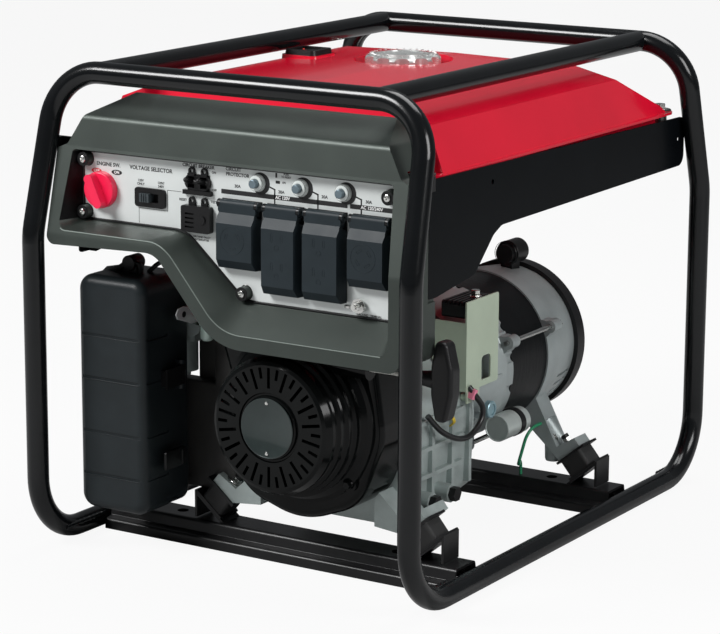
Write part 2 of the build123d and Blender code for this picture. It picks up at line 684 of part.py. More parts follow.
def cleaner_shell(y0, y1, inset):
    """Outline of the air cleaner's box between two depths, drawn in by an inset."""
    points = [(CLEANER_LEFT + inset, CLEANER_LOW_Z + inset), (CLEANER_RIGHT - inset, CLEANER_LOW_Z + inset),
              (CLEANER_RIGHT - inset, CLEANER_TOP_Z - inset), (CLEANER_LEFT + inset, CLEANER_TOP_Z - inset)]
    return xz_prism(points, y0, y1, radii=[18 - inset] * 4)


def air_cleaner_cover():
    cover = cleaner_shell(CLEANER_FRONT_Y, CLEANER_JOINT_Y, 0)
    cover = fillet(cover.faces().sort_by(Axis.Y)[0].edges(), 12)
    for z in CLEANER_GROOVES:
        cut = cleaner_shell(CLEANER_FRONT_Y - 5, CLEANER_JOINT_Y - 8, -2) - cleaner_shell(
            CLEANER_FRONT_Y + 1.2, CLEANER_JOINT_Y, 1.2)
        cover -= cut & box(-300, 0, -330, -200, z - 1.5, z + 1.5)
    wall = CLEANER_WALL + 1.2
    return cover - cleaner_shell(CLEANER_FRONT_Y + wall, CLEANER_JOINT_Y + 1, wall)


def air_cleaner_case():
    case = cleaner_shell(CLEANER_JOINT_Y + BODY_GAP, CLEANER_REAR_Y, 1)
    case = fillet(case.faces().sort_by(Axis.Y)[-1].edges(), 6)
    case -= cleaner_shell(CLEANER_JOINT_Y - 1, CLEANER_REAR_Y - CLEANER_WALL, 1 + CLEANER_WALL)
    case -= rod((INTAKE_X, CLEANER_REAR_Y - 10, INTAKE_Z), (INTAKE_X, CLEANER_REAR_Y + 5, INTAKE_Z), INTAKE_R)
    for side, x in ((-1, CLEANER_LEFT), (1, CLEANER_RIGHT)):
        for z in (LATCH_Z - 17, LATCH_Z + 12):
            ear = box(x - 4, x + 4, CLEANER_JOINT_Y + 8, CLEANER_JOINT_Y + 18, z, z + 5) + rod(
                (x + side * 4, CLEANER_JOINT_Y + 13, z), (x + side * 4, CLEANER_JOINT_Y + 13, z + 5), 5)
            case += ear
        pin_x, pin_y = x + side * 4, CLEANER_JOINT_Y + 13
        case += rod((pin_x, pin_y, LATCH_Z - 17), (pin_x, pin_y, LATCH_Z + 17), LATCH_PIN_R)
    return case


def cleaner_latch(side):
    """Spring clip that turns on the case's pin and lies over the cover's edge."""
    x = (CLEANER_RIGHT if side > 0 else CLEANER_LEFT) + side * 4
    pivot_y = CLEANER_JOINT_Y + 13
    knuckle = rod((x, pivot_y, LATCH_Z - 11.5), (x, pivot_y, LATCH_Z + 11.5), 5)
    arm = box(min(x + side * 2, x + side * 5), max(x + side * 2, x + side * 5), pivot_y - 34, pivot_y,
              LATCH_Z - 11.5, LATCH_Z + 11.5)
    tab_x = sorted((x - side * 3.5, x + side * 3))
    tab = box(*tab_x, pivot_y - 34, pivot_y - 30, LATCH_Z - 9, LATCH_Z + 9)
    latch = knuckle + arm + tab
    return latch - rod((x, pivot_y, LATCH_Z - 30), (x, pivot_y, LATCH_Z + 30), LATCH_PIN_R + RUNNING_FIT)


def air_filter_element():
    """Pleated paper element between the case and the cover."""
    left, right = CLEANER_LEFT + 14, CLEANER_RIGHT - 14
    pleats = 9
    step = (right - left) / pleats
    points = [(left, -242)]
    for i in range(pleats):
        points += [(left + step * (i + 0.5), -290), (left + step * (i + 1), -248)]
    points += [(right, -242)]
    section = Plane(origin=(0, 0, 120), x_dir=(1, 0, 0), z_dir=(0, 0, 1)) * Polyline(*points, close=True)
    seal = box(left - 3, right + 3, -246, CLEANER_REAR_Y - CLEANER_WALL, 116, 244)
    return extrude(make_face(section), amount=120) + seal


LEVER_PIN_R = 3.0
CHOKE_PIVOT = (-112.0, -203.0, 262.0)
VALVE_PIVOT = (-128.0, -204.0, 292.0)


def carburettor():
    """Die-cast throttle body with its float bowl, and the pins of the choke and the fuel valve."""
    y0, y1 = CLEANER_REAR_Y + BODY_GAP, CARB_REAR_Y
    middle_y = (y0 + y1) / 2
    body = rod((INTAKE_X, y0, INTAKE_Z), (INTAKE_X, y1, INTAKE_Z), 19)
    body += box(INTAKE_X - 24, INTAKE_X + 24, y0 + 4, y1 - 4, INTAKE_Z - 22, INTAKE_Z + 14)
    for y in (y0, y1 - 5):
        outline = [(INTAKE_X - 34, INTAKE_Z - 9), (INTAKE_X, INTAKE_Z - 26), (INTAKE_X + 34, INTAKE_Z - 9),
                   (INTAKE_X + 34, INTAKE_Z + 9), (INTAKE_X, INTAKE_Z + 26), (INTAKE_X - 34, INTAKE_Z + 9)]
        body += xz_prism(outline, y, y + 5, radii=[6, 12, 6, 6, 12, 6])
    body += rod((INTAKE_X, middle_y, INTAKE_Z - 60), (INTAKE_X, middle_y, INTAKE_Z - 20), 16)
    body += rod((INTAKE_X, middle_y, INTAKE_Z - 66), (INTAKE_X, middle_y, INTAKE_Z - 60), 7)
    x, y, z = CHOKE_PIVOT
    body += rod((INTAKE_X + 20, y, z), (x + 6, y, z), LEVER_PIN_R)
    x, y, z = VALVE_PIVOT
    body += rod((x, y, z - 24), (x, y, z - 12), 9) + rod((x, y, z - 14), (x, y, z + 6), LEVER_PIN_R)
    return body - rod((INTAKE_X, y0 - 2, INTAKE_Z), (INTAKE_X, y1 + 2, INTAKE_Z), INTAKE_R)


def intake_manifold():
    """Cast block that leads from the carburettor across to the port in the head's side."""
    y0 = CARB_REAR_Y + BODY_GAP
    frame = Plane(origin=(0, y0, 0), x_dir=(1, 0, 0), z_dir=(0, -1, 0))
    ends = (Pos(INTAKE_X, INTAKE_Z) * Circle(20)).edges() + (Pos(PORT_X, PORT_Z) * Circle(17)).edges()
    block = extrude(frame * make_hull(ends), amount=-(PORT_Y - y0))
    lugs = xz_prism([(PORT_X - 8, PORT_Z - 30), (PORT_X + 8, PORT_Z - 30), (PORT_X + 8, PORT_Z + 30),
                     (PORT_X - 8, PORT_Z + 30)], PORT_Y - 6, PORT_Y, radii=[6] * 4)
    return block + lugs


def choke_lever():
    """Flat steel lever with a round hole in its end, on the choke's spindle."""
    x, y, z = CHOKE_PIVOT
    frame = Plane(origin=(x, y, z), x_dir=(0, -1, 0), z_dir=(1, 0, 0))
    blade = make_hull((Pos(0, 0) * Circle(8)).edges() + (Pos(2, 30) * Circle(8.5)).edges())
    lever = extrude(blade, amount=2.5) - Cylinder(LEVER_PIN_R + RUNNING_FIT, 20)
    lever -= Pos(2, 30, 0) * Cylinder(3.5, 20)
    return frame * Rot(0, 0, -110) * lever


def fuel_valve_lever():
    """Turning handle of the fuel valve."""
    x, y, z = VALVE_PIVOT
    hub = rod((x, y, z - 11.7), (x, y, z + 4), 8)
    handle = hub + box(x - 4, x + 34, y - 4, y + 4, z - 4, z + 3)
    handle = handle - rod((x, y, z - 30), (x, y, z + 30), LEVER_PIN_R + RUNNING_FIT)
    return handle


MUFFLER = (-224.0, -96.0, 40.0, 292.0, 212.0, 344.0)    # low and high x, y and z of the shell
MUFFLER_CORNER_R = 34.0
MUFFLER_WALL = 2.0
SEAM = 3.0                  # height of its pressed seams
EXHAUST_PORT_Y = -33.7


def muffler():
    """Rolled shell with pressed ends, seams, an inlet pipe from the head and an outlet stub."""
    x0, x1, y0, y1, z0, z1 = MUFFLER
    middle_x, middle_z = (x0 + x1) / 2, (z0 + z1) / 2
    body = box(x0, x1, y0, y1, z0, z1)
    body = fillet(body.edges().filter_by(Axis.Y), MUFFLER_CORNER_R)
    for y in (y0 + 8, (y0 + y1) / 2, y1 - 12):
        seam = box(x0 - SEAM, x1 + SEAM, y, y + 4, z0 - SEAM, z1 + SEAM)
        body += fillet(seam.edges().filter_by(Axis.Y), MUFFLER_CORNER_R + 2)
    outlet_x, outlet_z = middle_x - 20, middle_z - 24
    body += rod((outlet_x, y1 - 5, outlet_z), (outlet_x, y1 + 24, outlet_z), 15)
    route = [(PORT_X + 4, EXHAUST_PORT_Y, PORT_Z), (PORT_X + 4, 6, PORT_Z), (-126, y0 + 8, 266)]
    body += bent_tube(route, [24], 15)
    body += box(PORT_X - 24, PORT_X + 32, EXHAUST_PORT_Y, EXHAUST_PORT_Y + 5, PORT_Z - 20, PORT_Z + 20)
    wall = MUFFLER_WALL
    hollow = box(x0 + wall, x1 - wall, y0 + wall, y1 - wall, z0 + wall, z1 - wall)
    body -= fillet(hollow.edges().filter_by(Axis.Y), MUFFLER_CORNER_R - wall)
    body -= rod((outlet_x, y1 - 5, outlet_z), (outlet_x, y1 + 30, outlet_z), 12.5)
    return body - bent_tube(route, [24], 12.5)


write("intake_manifold", intake_manifold())
write("carburettor", carburettor())
write("choke_lever", choke_lever())
write("fuel_valve_lever", fuel_valve_lever())
write("air_cleaner_case", air_cleaner_case())
write("air_cleaner_cover", air_cleaner_cover())
write("air_filter_element", air_filter_element())
write("cleaner_latch_left", cleaner_latch(-1))
write("cleaner_latch_right", cleaner_latch(1))
write("muffler", muffler())

# ------------------------------------------------------------------ fuel tank
GAUGE_X, GAUGE_Y = -152.0, 70.0
GAUGE_Z = 546.5
NECK_R = 30.0
MOUNT_BOLTS_XY = ((-213, -262), (213, -262), (-213, 310), (213, 310))


def tank_upper(inset):
    """Upper pressing: a creased cross-section met by a sloped side view."""
    w, top, crease = TANK_HALF - inset, TANK_TOP_Z - inset, TANK_CREASE_Z - inset * 0.6
    section = [(-w, FLANGE_Z), (w, FLANGE_Z), (w - 3, 482), (w - 22, crease), (w - 66, top - 4), (0, top),
               (66 - w, top - 4), (22 - w, crease), (3 - w, 482)]
    front, rear = TANK_FRONT_Y + inset, TANK_REAR_Y - inset
    side = [(front, FLANGE_Z), (front + 5, crease), (front + 26, top + 2), (rear - 136, top + 2),
            (rear - 98, crease), (rear - 10, 484), (rear, FLANGE_Z)]
    return xz_prism(section, front - 5, rear + 5) & yz_prism(side, -300, 300)


def tank_lower(inset):
    w, low = TANK_HALF - 10 - inset, TANK_LOW_Z + inset
    front, rear = TANK_FRONT_Y + 8 + inset, TANK_REAR_Y - 12 - inset
    section = [(-w, FLANGE_Z), (-w, 430), (26 - w, low + 6), (60 - w, low), (w - 60, low), (w - 26, low + 6),
               (w, 430), (w, FLANGE_Z)]
    side = [(front, FLANGE_Z), (front, 440), (front + 40, low), (rear - 120, low), (rear, 436),
            (rear, FLANGE_Z)]
    return xz_prism(section, front - 5, rear + 5) & yz_prism(side, -300, 300)


def fuel_tank():
    """Two pressings welded at a flange, hollow, with a recessed filler and a gauge pad."""
    upper = tank_upper(0)
    pad = Pos(GAUGE_X, GAUGE_Y, GAUGE_Z - 30) * extrude(RectangleRounded(58, 58, 12), amount=30, taper=6)
    lip_f, lip_r = TANK_FRONT_Y - 24, TANK_REAR_Y + 20
    plan = Pos(0, (lip_f + lip_r) / 2) * RectangleRounded(2 * COVER_SEAT, lip_r - lip_f, 22)
    flange = Pos(0, 0, FLANGE_Z - FLANGE_T / 2) * extrude(plan, amount=FLANGE_T)
    outer = upper + pad + flange + tank_lower(0)
    recess = Pos(FILLER_X, FILLER_Y, TANK_TOP_Z - 14) * Cone(CAP_R + 10, CAP_R + 20, 30, align=STANDING)
    dish = Pos(FILLER_X, FILLER_Y, TANK_TOP_Z - 16) * Cone(CAP_R + 11, CAP_R + 22, 20, align=STANDING)
    outer = outer - recess
    hollow = (tank_upper(TANK_WALL) + tank_lower(TANK_WALL)) - dish
    tank = outer - hollow
    neck_z = TANK_TOP_Z - 16
    neck = Pos(FILLER_X, FILLER_Y, neck_z) * Cylinder(NECK_R, 17, align=STANDING)
    tank += neck
    tank -= Pos(FILLER_X, FILLER_Y, neck_z - 20) * Cylinder(NECK_R - 2, 60, align=STANDING)
    for x, y in MOUNT_BOLTS_XY:
        tank -= Pos(x, y, FLANGE_Z) * Cylinder(4.5, 20)
    return tank


def fuel_cap():
    """Plated screw cap with a scalloped rim."""
    low = TANK_TOP_Z - 13
    cap = Pos(FILLER_X, FILLER_Y, low) * Cylinder(CAP_R, 17, align=STANDING)
    cap = fillet(cap.faces().sort_by(Axis.Z)[-1].edges(), 4)
    for i in range(12):
        angle = math.radians(30 * i)
        x, y = FILLER_X + 54 * math.cos(angle), FILLER_Y + 54 * math.sin(angle)
        cap -= Pos(x, y, low) * Cylinder(12, 60)
    cap += Pos(FILLER_X, FILLER_Y, low + 17) * Cylinder(30, 2, align=STANDING)
    cap -= Pos(FILLER_X, FILLER_Y, low - 1) * Cylinder(NECK_R + BODY_GAP, 15, align=STANDING)
    plug = Pos(FILLER_X, FILLER_Y, low + 2) * Cylinder(NECK_R - 2.6, 13, align=STANDING)
    return cap + plug


def fuel_gauge():
    """Bezel of the float gauge with a windowed dial, on its pad."""
    base = Pos(GAUGE_X, GAUGE_Y, GAUGE_Z) * extrude(RectangleRounded(46, 46, 8), amount=6, taper=10)
    base -= Pos(GAUGE_X, GAUGE_Y, GAUGE_Z + 10) * Box(32, 32, 14)
    base += Pos(GAUGE_X, GAUGE_Y - 10, GAUGE_Z + 3) * Cylinder(1.5, 2.6, align=STANDING)
    return base


def gauge_needle():
    needle = Pos(0, 9, 0.6) * Box(2, 18, 1.2) + Cylinder(3, 1.2, align=STANDING)
    needle -= Cylinder(1.5 + RUNNING_FIT, 10)
    return Pos(GAUGE_X, GAUGE_Y - 10, GAUGE_Z + 3.6) * Rot(0, 0, 35) * needle


def tank_mount(x, y):
    """Rubber bush under the flange with its bolt and washer."""
    under = FLANGE_Z - FLANGE_T / 2
    bush = Pos(x, y, under - 14) * Cylinder(9, 14, align=STANDING)
    over = under + FLANGE_T
    washer = Pos(x, y, over) * Cylinder(11, 2, align=STANDING)
    head = Pos(x, y, over + 2) * extrude(RegularPolygon(7.5, 6), amount=6)
    shank = Pos(x, y, under) * Cylinder(4, FLANGE_T, align=STANDING)
    return bush + shank + washer + head


write("fuel_tank", fuel_tank())
write("fuel_cap", fuel_cap())
write("fuel_gauge", fuel_gauge())
write("gauge_needle", gauge_needle())
write("tank_mounts", [tank_mount(x, y) for x, y in MOUNT_BOLTS_XY])

# ------------------------------------------------------------------ tank supports and side covers
FOOT_T = 3.0
BUSH_HEIGHT = 14.0
FOOT_TOP_Z = FLANGE_Z - FLANGE_T / 2 - BUSH_HEIGHT
BEAM_LOW_Z, BEAM_TOP_Z = 468.0, 484.0
LEDGE_REAR_Y = -304.0       # rear of the ledge that the control plate lies on


def panel_beam():
    """Strip between the front uprights; it carries the control housing and the tank's front."""
    y = LEDGE_REAR_Y + BODY_GAP
    beam = box(-COVER_X, COVER_X, y, y + FOOT_T, BEAM_LOW_Z, BEAM_TOP_Z)
    for side in (-1, 1):
        x0, x1 = sorted((side * 201, side * 225))
        beam += box(x0, x1, y, y + FOOT_T, FOOT_TOP_Z - FOOT_T, BEAM_TOP_Z)
        beam += box(x0, x1, y, -250, FOOT_TOP_Z - FOOT_T, FOOT_TOP_Z)
        x0, x1 = sorted((side * 234, side * 252))
        beam += box(x0, x1, y, y + FOOT_T, BEAM_LOW_Z, BEAM_TOP_Z)
        x0, x1 = sorted((side * 244, side * 252))
        beam += box(x0, x1, -326, y + FOOT_T, BEAM_LOW_Z, BEAM_TOP_Z)
        beam -= cage_tube(side, -1)
    return max(beam.solids(), key=lambda solid: solid.volume)


def cage_tube(side, end):
    """Room taken by a leaning upright, with the weld gap around it."""
    kink = (side * half_w, end * half_d, KINK_Z)
    return rod(kink, (side * corner_x, end * corner_y, top_z), TUBE_R + WELD_GAP)


def rear_foot(side):
    """Bracket on the rear upright that reaches round the side cover to the tank's rear bush."""
    inner, seat, out = side * 199, side * (COVER_SEAT - 0.3), side * 247
    plan = [(inner, 291), (seat, 291), (seat, 336.5), (out, 336.5), (out, 345), (inner, 345)]
    plate = Pos(0, 0, FOOT_TOP_Z - FOOT_T) * extrude(make_face(Polyline(*plan, close=True)), amount=FOOT_T)
    x0, x1 = sorted((inner, out))
    plate += box(x0, x1, 342, 345, FOOT_TOP_Z - 20, FOOT_TOP_Z)
    plate -= cage_tube(side, 1)
    return max(plate.solids(), key=lambda solid: solid.volume)


def side_cover(side):
    """Pressed sheet between the tank's flange and the cage, with its lower edge rolled inwards."""
    front, rear = -287.5, 334.0
    outline = [(front, 476), (rear, 468), (rear, 407), (-128, 403), (-146, 395), (-187, 357), (-269, 346),
               (front, 346)]
    inner = [(front - 5, 480), (rear + 5, 480), (rear + 5, 409), (-129, 405), (-148, 397), (-188, 359),
             (-269, 348), (front - 5, 348)]
    cover = yz_prism(outline, COVER_X - 12, COVER_X, radii=[8, 12, 14, 20, 20, 20, 6, 4])
    cover -= yz_prism(inner, COVER_X - 13, COVER_X - COVER_T, radii=[8, 12, 14, 20, 20, 20, 6, 4])
    cover -= box(COVER_X - 14, COVER_SEAT + 0.15, -300, BEZEL_REAR_Y + 1, 340, 350)
    for y, z in ((-150, 455), (318, 441)):
        cover -= rod((COVER_X - 5, y, z), (COVER_X + 5, y, z), 3)
    return cover if side > 0 else mirror(cover, Plane.YZ)


write("cross_members", [cross_member(FRONT_MOUNT_Y), cross_member(REAR_MOUNT_Y)]
      + [mount_bracket(s, y) for s, y in mount_seats] + [panel_beam(), rear_foot(-1), rear_foot(1)])
write("side_cover_left", side_cover(-1))
write("side_cover_right", side_cover(1))

# ------------------------------------------------------------------ control housing
RIM_LEAN = math.tan(math.radians(13.3))
LEDGE_FRONT_Y = PANEL_Y + PLATE_T
WINDOW_INSET = 8.0
CAVITY_TOP_Z = 486.0
CAVITY_HALF = 230.0
TRAY_Z = 493.0
BOSSES = ((-203, 463), (-205, 402), (203.6, 458.5), (15, 332))
BOSS_R = 8.0
PANEL_RADII = [4, 35, 40, 4, 4, 4]


def plate_points(inset):
    """Corners of the control plate: low and right first, then the step, then the top."""
    return [(PLATE_HALF - inset, PLATE_LOW + inset), (14 + 0.6 * inset, PLATE_LOW + inset),
            (-66 + 0.6 * inset, PLATE_STEP + inset), (inset - PLATE_HALF, PLATE_STEP + inset),
            (inset - PLATE_HALF, PLATE_TOP - inset), (PLATE_HALF - inset, PLATE_TOP - inset)]


def bezel():
    """Moulded control housing with a raised rim, a recess for the plate and a tray in its top."""
    outer = [(BEZEL_HALF, BEZEL_LOW), (-4, BEZEL_LOW), (-84, 371), (-BEZEL_HALF, 366), (-BEZEL_HALF, 474),
             (-BEZEL_SHOULDER_HALF, 480), (-203, BEZEL_TOP_Z), (-168, HOOD_REAR_Z + 4), (168, HOOD_REAR_Z + 4),
             (203, BEZEL_TOP_Z), (BEZEL_SHOULDER_HALF, 480), (BEZEL_HALF, 474)]
    body = xz_prism(outer, -360, -240, radii=[14, 75, 28, 10, 2, 4, 12, 10, 10, 12, 4, 2])
    lean_y = BEZEL_FRONT_Y + (BEZEL_SHOULDER_Z - KINK_Z) * RIM_LEAN
    side = [(BEZEL_FRONT_Y, 260), (BEZEL_FRONT_Y, KINK_Z), (lean_y, BEZEL_SHOULDER_Z), (-316, BEZEL_TOP_Z),
            (HOOD_REAR_Y, HOOD_REAR_Z), (HOOD_REAR_Y, CAVITY_TOP_Z), (BEZEL_REAR_Y, CAVITY_TOP_Z),
            (BEZEL_REAR_Y, 260)]
    body &= yz_prism(side, -260, 260, radii=[3, 30, 6, 8, 3, 1, 1, 3])
    rim = [(222, 292), (4, 292), (-72.7, 384), (-222, 384), (-222, 477), (222, 477)]
    recess = loft([frame_face(rim, BEZEL_FRONT_Y - 0.5, [12, 58, 45, 12, 6, 6]),
                   frame_face(plate_points(0), PANEL_Y, PANEL_RADII)], ruled=True)
    body -= recess
    body -= xz_prism(plate_points(-BODY_GAP), PANEL_Y - 0.3, LEDGE_FRONT_Y, radii=PANEL_RADII)
    for x, z in BOSSES:
        body += panel_boss(x, z, BOSS_R, PANEL_Y - 9, LEDGE_REAR_Y)
    window = xz_prism(plate_points(WINDOW_INSET), LEDGE_FRONT_Y - 0.5, LEDGE_REAR_Y + 1,
                      radii=[4, 30, 44, 4, 4, 4])
    body -= window - [panel_boss(x, z, BOSS_R, -330, -290) for x, z in BOSSES]
    cavity = [(CAVITY_HALF, BEZEL_LOW + 4), (-2, BEZEL_LOW + 4), (-82, 375), (-CAVITY_HALF, 371),
              (-CAVITY_HALF, CAVITY_TOP_Z), (CAVITY_HALF, CAVITY_TOP_Z)]
    body -= xz_prism(cavity, LEDGE_REAR_Y, BEZEL_REAR_Y + 1, radii=[10, 71, 32, 6, 4, 4])
    for x, z in BOSSES:
        body -= panel_boss(x, z, 2.2, PANEL_Y - 12, LEDGE_REAR_Y + 1)
    tray_side = [(-360, TRAY_Z), (-285, TRAY_Z), (-279, 514), (-272, 515), (-262, 545), (-262, 600),
                 (-360, 600)]
    tray_front = [(-161, TRAY_Z), (161, TRAY_Z), (178, 513), (190, 600), (-190, 600), (-178, 513)]
    body -= yz_prism(tray_side, -200, 200, radii=[1, 8, 4, 4, 1, 1, 1]) & xz_prism(
        tray_front, -360, -250, radii=[8, 8, 20, 1, 1, 20])
    for side in (-1, 1):
        x0, x1 = sorted((side * (COVER_SEAT), side * 250))
        body -= box(x0, x1, -288, -260, 342, 479)
        x0, x1 = sorted((side * 225, side * 250))
        body -= box(x0, x1, LEDGE_REAR_Y, -260, BEAM_LOW_Z - 0.5, BEAM_TOP_Z + 0.5)
    return body


def frame_face(points, y, radii):
    """Rounded outline as a face standing at one depth."""
    return make_face(Plane(origin=(0, y, 0), x_dir=(1, 0, 0), z_dir=(0, -1, 0))
                     * FilletPolyline(*points, radius=radii, close=True))


# outlets: (left, right, low, top) of each lid, and whether its socket is round
OUTLETS = ((-16.5, 38.0, 360.0, 437.0, False), (43.5, 93.0, 337.0, 437.0, False),
           (97.0, 148.7, 337.0, 437.0, False), (154.7, 206.5, 358.0, 437.0, True))
LID_FRONT_Y = -328.0
LID_REAR_Y = -312.2
LID_WALL = 2.0
LID_DRAFT = 4.0             # how much narrower a lid is at its front, on each side
NECK_DROP = 15.0            # from a lid's top to the bottom of its hinge block
HINGE_Y = -317.0
HINGE_DROP = 5.5            # from a lid's top to its hinge
HINGE_PIN_R = 1.2
BARREL_R = 5.0
SWITCH_X, SWITCH_Z = -182.0, 429.0
SELECTOR_X, SELECTOR_Z = -114.0, 426.0
BREAKER_X, BREAKER_Z = -48.0, 450.0
BREAKER_POLE = 8.5          # from the breaker's middle to each of its toggles
SENSOR_X, SENSOR_Z = -48.0, 409.0
SENSOR_HALF, SENSOR_HIGH = 19.5, 15.0
TOGGLE_PIVOT_R = 3.0
RESETS_X = (31.5, 87.8, 143.2)
RESETS_Z = 457.0
STUD_X, STUD_Z = 165.0, 336.0
SOCKET_REAR_Y = -280.0


def outlet_body(x0, x1, z0, z1, is_round):
    """Socket moulding with a thin flange on the plate, hinge ears and a pin for its lid."""
    cx, cz = (x0 + x1) / 2, (z0 + z1 - 10) / 2
    frame = box(x0 + 1, x1 - 1, PANEL_Y - 1.5, PANEL_Y, z0 + 1, z1 - 1)
    if is_round:
        core = panel_boss(cx, cz, 20, PANEL_Y - 4, SOCKET_REAR_Y)
    else:
        half = 17 if z1 - z0 > 80 else 16
        tall = (z1 - z0) / 2 - 13
        core = box(cx - half, cx + half, PANEL_Y - 4, SOCKET_REAR_Y, cz - tall, cz + tall)
        core = fillet(core.edges().filter_by(Axis.Y), 5)
    body = frame + core
    centres = [cz] if is_round or z1 - z0 < 80 else [cz - 18, cz + 18]
    for z in centres:
        for dx, width in ((-6, 2), (6, 2)):
            body -= Pos(cx + dx, PANEL_Y - 4, z + 3) * Box(width, 16, 7)
        body -= panel_boss(cx, z - 7, 2.4, PANEL_Y - 12, PANEL_Y + 4)
    hinge_z = z1 - HINGE_DROP
    for a, b in ((x0 + 1.5, x0 + 4.5), (x1 - 4.5, x1 - 1.5)):
        body += box(a, b, HINGE_Y, PANEL_Y, hinge_z - 3, hinge_z + 3) + rod(
            (a, HINGE_Y, hinge_z), (b, HINGE_Y, hinge_z), BARREL_R - 0.2)
    return body + rod((x0 + 1.5, HINGE_Y, hinge_z), (x1 - 1.5, HINGE_Y, hinge_z), HINGE_PIN_R)


def outlet_lid(x0, x1, z0, z1):
    """Sprung lid: a deep faceted shell with a waisted neck under its hinge block."""
    hinge_z, neck_y, neck_z = z1 - HINGE_DROP, HINGE_Y - BARREL_R, z1 - NECK_DROP
    profile = [(LID_REAR_Y, z0), (LID_FRONT_Y + 7, z0), (LID_FRONT_Y, z0 + 10), (LID_FRONT_Y, neck_z - 11),
               (neck_y, neck_z), (neck_y, hinge_z), (HINGE_Y, hinge_z), (LID_REAR_Y, neck_z)]
    rear, front, wall = LID_REAR_Y + 0.2, LID_FRONT_Y + LID_WALL, LID_WALL
    hollow = [(rear, z0 + wall), (front + 6, z0 + wall), (front, z0 + 11), (front, neck_z - 12),
              (neck_y + wall, neck_z - wall), (rear, neck_z - wall)]
    plan = [(x0, LID_REAR_Y + 1), (x1, LID_REAR_Y + 1), (x1 - LID_DRAFT, LID_FRONT_Y - 1),
            (x0 + LID_DRAFT, LID_FRONT_Y - 1)]
    room = [(x0 + wall, rear + 1), (x1 - wall, rear + 1), (x1 - LID_DRAFT - wall, LID_FRONT_Y),
            (x0 + LID_DRAFT + wall, LID_FRONT_Y)]
    lid = yz_prism(profile, x0, x1) & z_prism(plan, z0 - 1, z1 + 1)
    lid -= yz_prism(hollow, x0, x1) & z_prism(room, z0 - 1, z1 + 1)
    for x in (x0 - 2.5, x1 + 2.5):
        lid -= panel_boss(x, neck_z - 1, 6, LID_FRONT_Y - 1, LID_REAR_Y + 1)
    lid += rod((x0 + 0.5, HINGE_Y, hinge_z), (x1 - 0.5, HINGE_Y, hinge_z), BARREL_R)
    for a, b in ((x0 + 1.2, x0 + 4.8), (x1 - 4.8, x1 - 1.2)):
        lid -= rod((a, HINGE_Y, hinge_z), (b, HINGE_Y, hinge_z), BARREL_R + 0.5)
    lid -= rod((x0, HINGE_Y, hinge_z), (x1, HINGE_Y, hinge_z), HINGE_PIN_R + RUNNING_FIT)
    return max(lid.solids(), key=lambda solid: solid.volume)


def control_plate():
    """Sheet steel plate with cut-outs for everything mounted in it."""
    plate = xz_prism(plate_points(0), PANEL_Y, LEDGE_FRONT_Y, radii=PANEL_RADII)
    for x, z in BOSSES:
        plate -= panel_boss(x, z, BOSS_R + 1, -330, -290)
    for body in panel_bodies():
        plate -= body
    plate -= panel_boss(STUD_X, STUD_Z, 3.3, -330, -290)
    return max(plate.solids(), key=lambda solid: solid.volume)


def switch_body():
    body = panel_boss(SWITCH_X, SWITCH_Z, 14, PANEL_Y, -284)
    return body - panel_boss(SWITCH_X, SWITCH_Z, 4 + RUNNING_FIT, -330, -297)


def switch_knob():
    """Round switch knob with a raised grip bar and a spindle into the switch."""
    knob = panel_boss(SWITCH_X, SWITCH_Z, 21, PANEL_Y - 9, PANEL_Y - BODY_GAP)
    knob = fillet(knob.faces().sort_by(Axis.Y)[0].edges(), 2)
    bar = extrude(RectangleRounded(11, 40, 5), amount=12)
    front = Plane(origin=(SWITCH_X, PANEL_Y - 8, SWITCH_Z), x_dir=(1, 0, 0), z_dir=(0, -1, 0))
    knob += front * Rot(0, 0, 25) * bar
    return knob + panel_boss(SWITCH_X, SWITCH_Z, 4, PANEL_Y - 1, -298)


def selector_housing():
    body = box(SELECTOR_X - 21, SELECTOR_X + 21, PANEL_Y - 3, PANEL_Y, SELECTOR_Z - 11, SELECTOR_Z + 11)
    body = fillet(body.edges().filter_by(Axis.Y), 4)
    body += box(SELECTOR_X - 15, SELECTOR_X + 15, PANEL_Y - 1, -292, SELECTOR_Z - 8, SELECTOR_Z + 8)
    return body - box(SELECTOR_X - 12, SELECTOR_X + 12, -330, PANEL_Y + 4, SELECTOR_Z - 5, SELECTOR_Z + 5)


def selector_slider():
    """Slider of the selector, at the left end of its slot."""
    x0, fit = SELECTOR_X - 12 + 0.2, 0.1
    slider = box(x0, x0 + 13, PANEL_Y - 7, PANEL_Y + 4 - fit, SELECTOR_Z - 5 + fit, SELECTOR_Z + 5 - fit)
    for i in range(3):
        slider -= box(x0 + 3 + 3 * i, x0 + 4 + 3 * i, PANEL_Y - 8, PANEL_Y - 6, SELECTOR_Z - 9, SELECTOR_Z + 9)
    return slider


def hoop(x, z):
    """Small eye standing on the panel, on a foot that reaches down to its moulding."""
    y = PANEL_Y
    eye = panel_boss(x, z, 4.2, y - 2.5, y) + box(x - 4.2, x + 4.2, y - 2.5, y, z - 7, z)
    return eye - panel_boss(x, z, 2.3, y - 3, y + 0.5)


def breaker_housing():
    """Two round collars on one moulding, each with a hoop above it, and a bar below them."""
    x, z, y = BREAKER_X, BREAKER_Z, PANEL_Y
    body = box(x - 15, x + 15, y - 1, -284, z - 9, z + 9)
    body += box(x - 19, x + 19, y - 5, y, z - 14, z - 9) + box(x - 8, x + 8, y - 3.5, y, z - 9.5, z + 7)
    for pole in (x - BREAKER_POLE, x + BREAKER_POLE):
        body += panel_boss(pole, z, 8.8, y - 3.5, y)
        body += hoop(pole, z + 12.5)
    for pole in (x - BREAKER_POLE, x + BREAKER_POLE):
        body -= box(pole - 4.5, pole + 4.5, -330, y + 5, z - 6.5, z + 6.5)
    return body - rod((x - 13.5, y - 1, z), (x + 13.5, y - 1, z), TOGGLE_PIVOT_R + RUNNING_FIT)


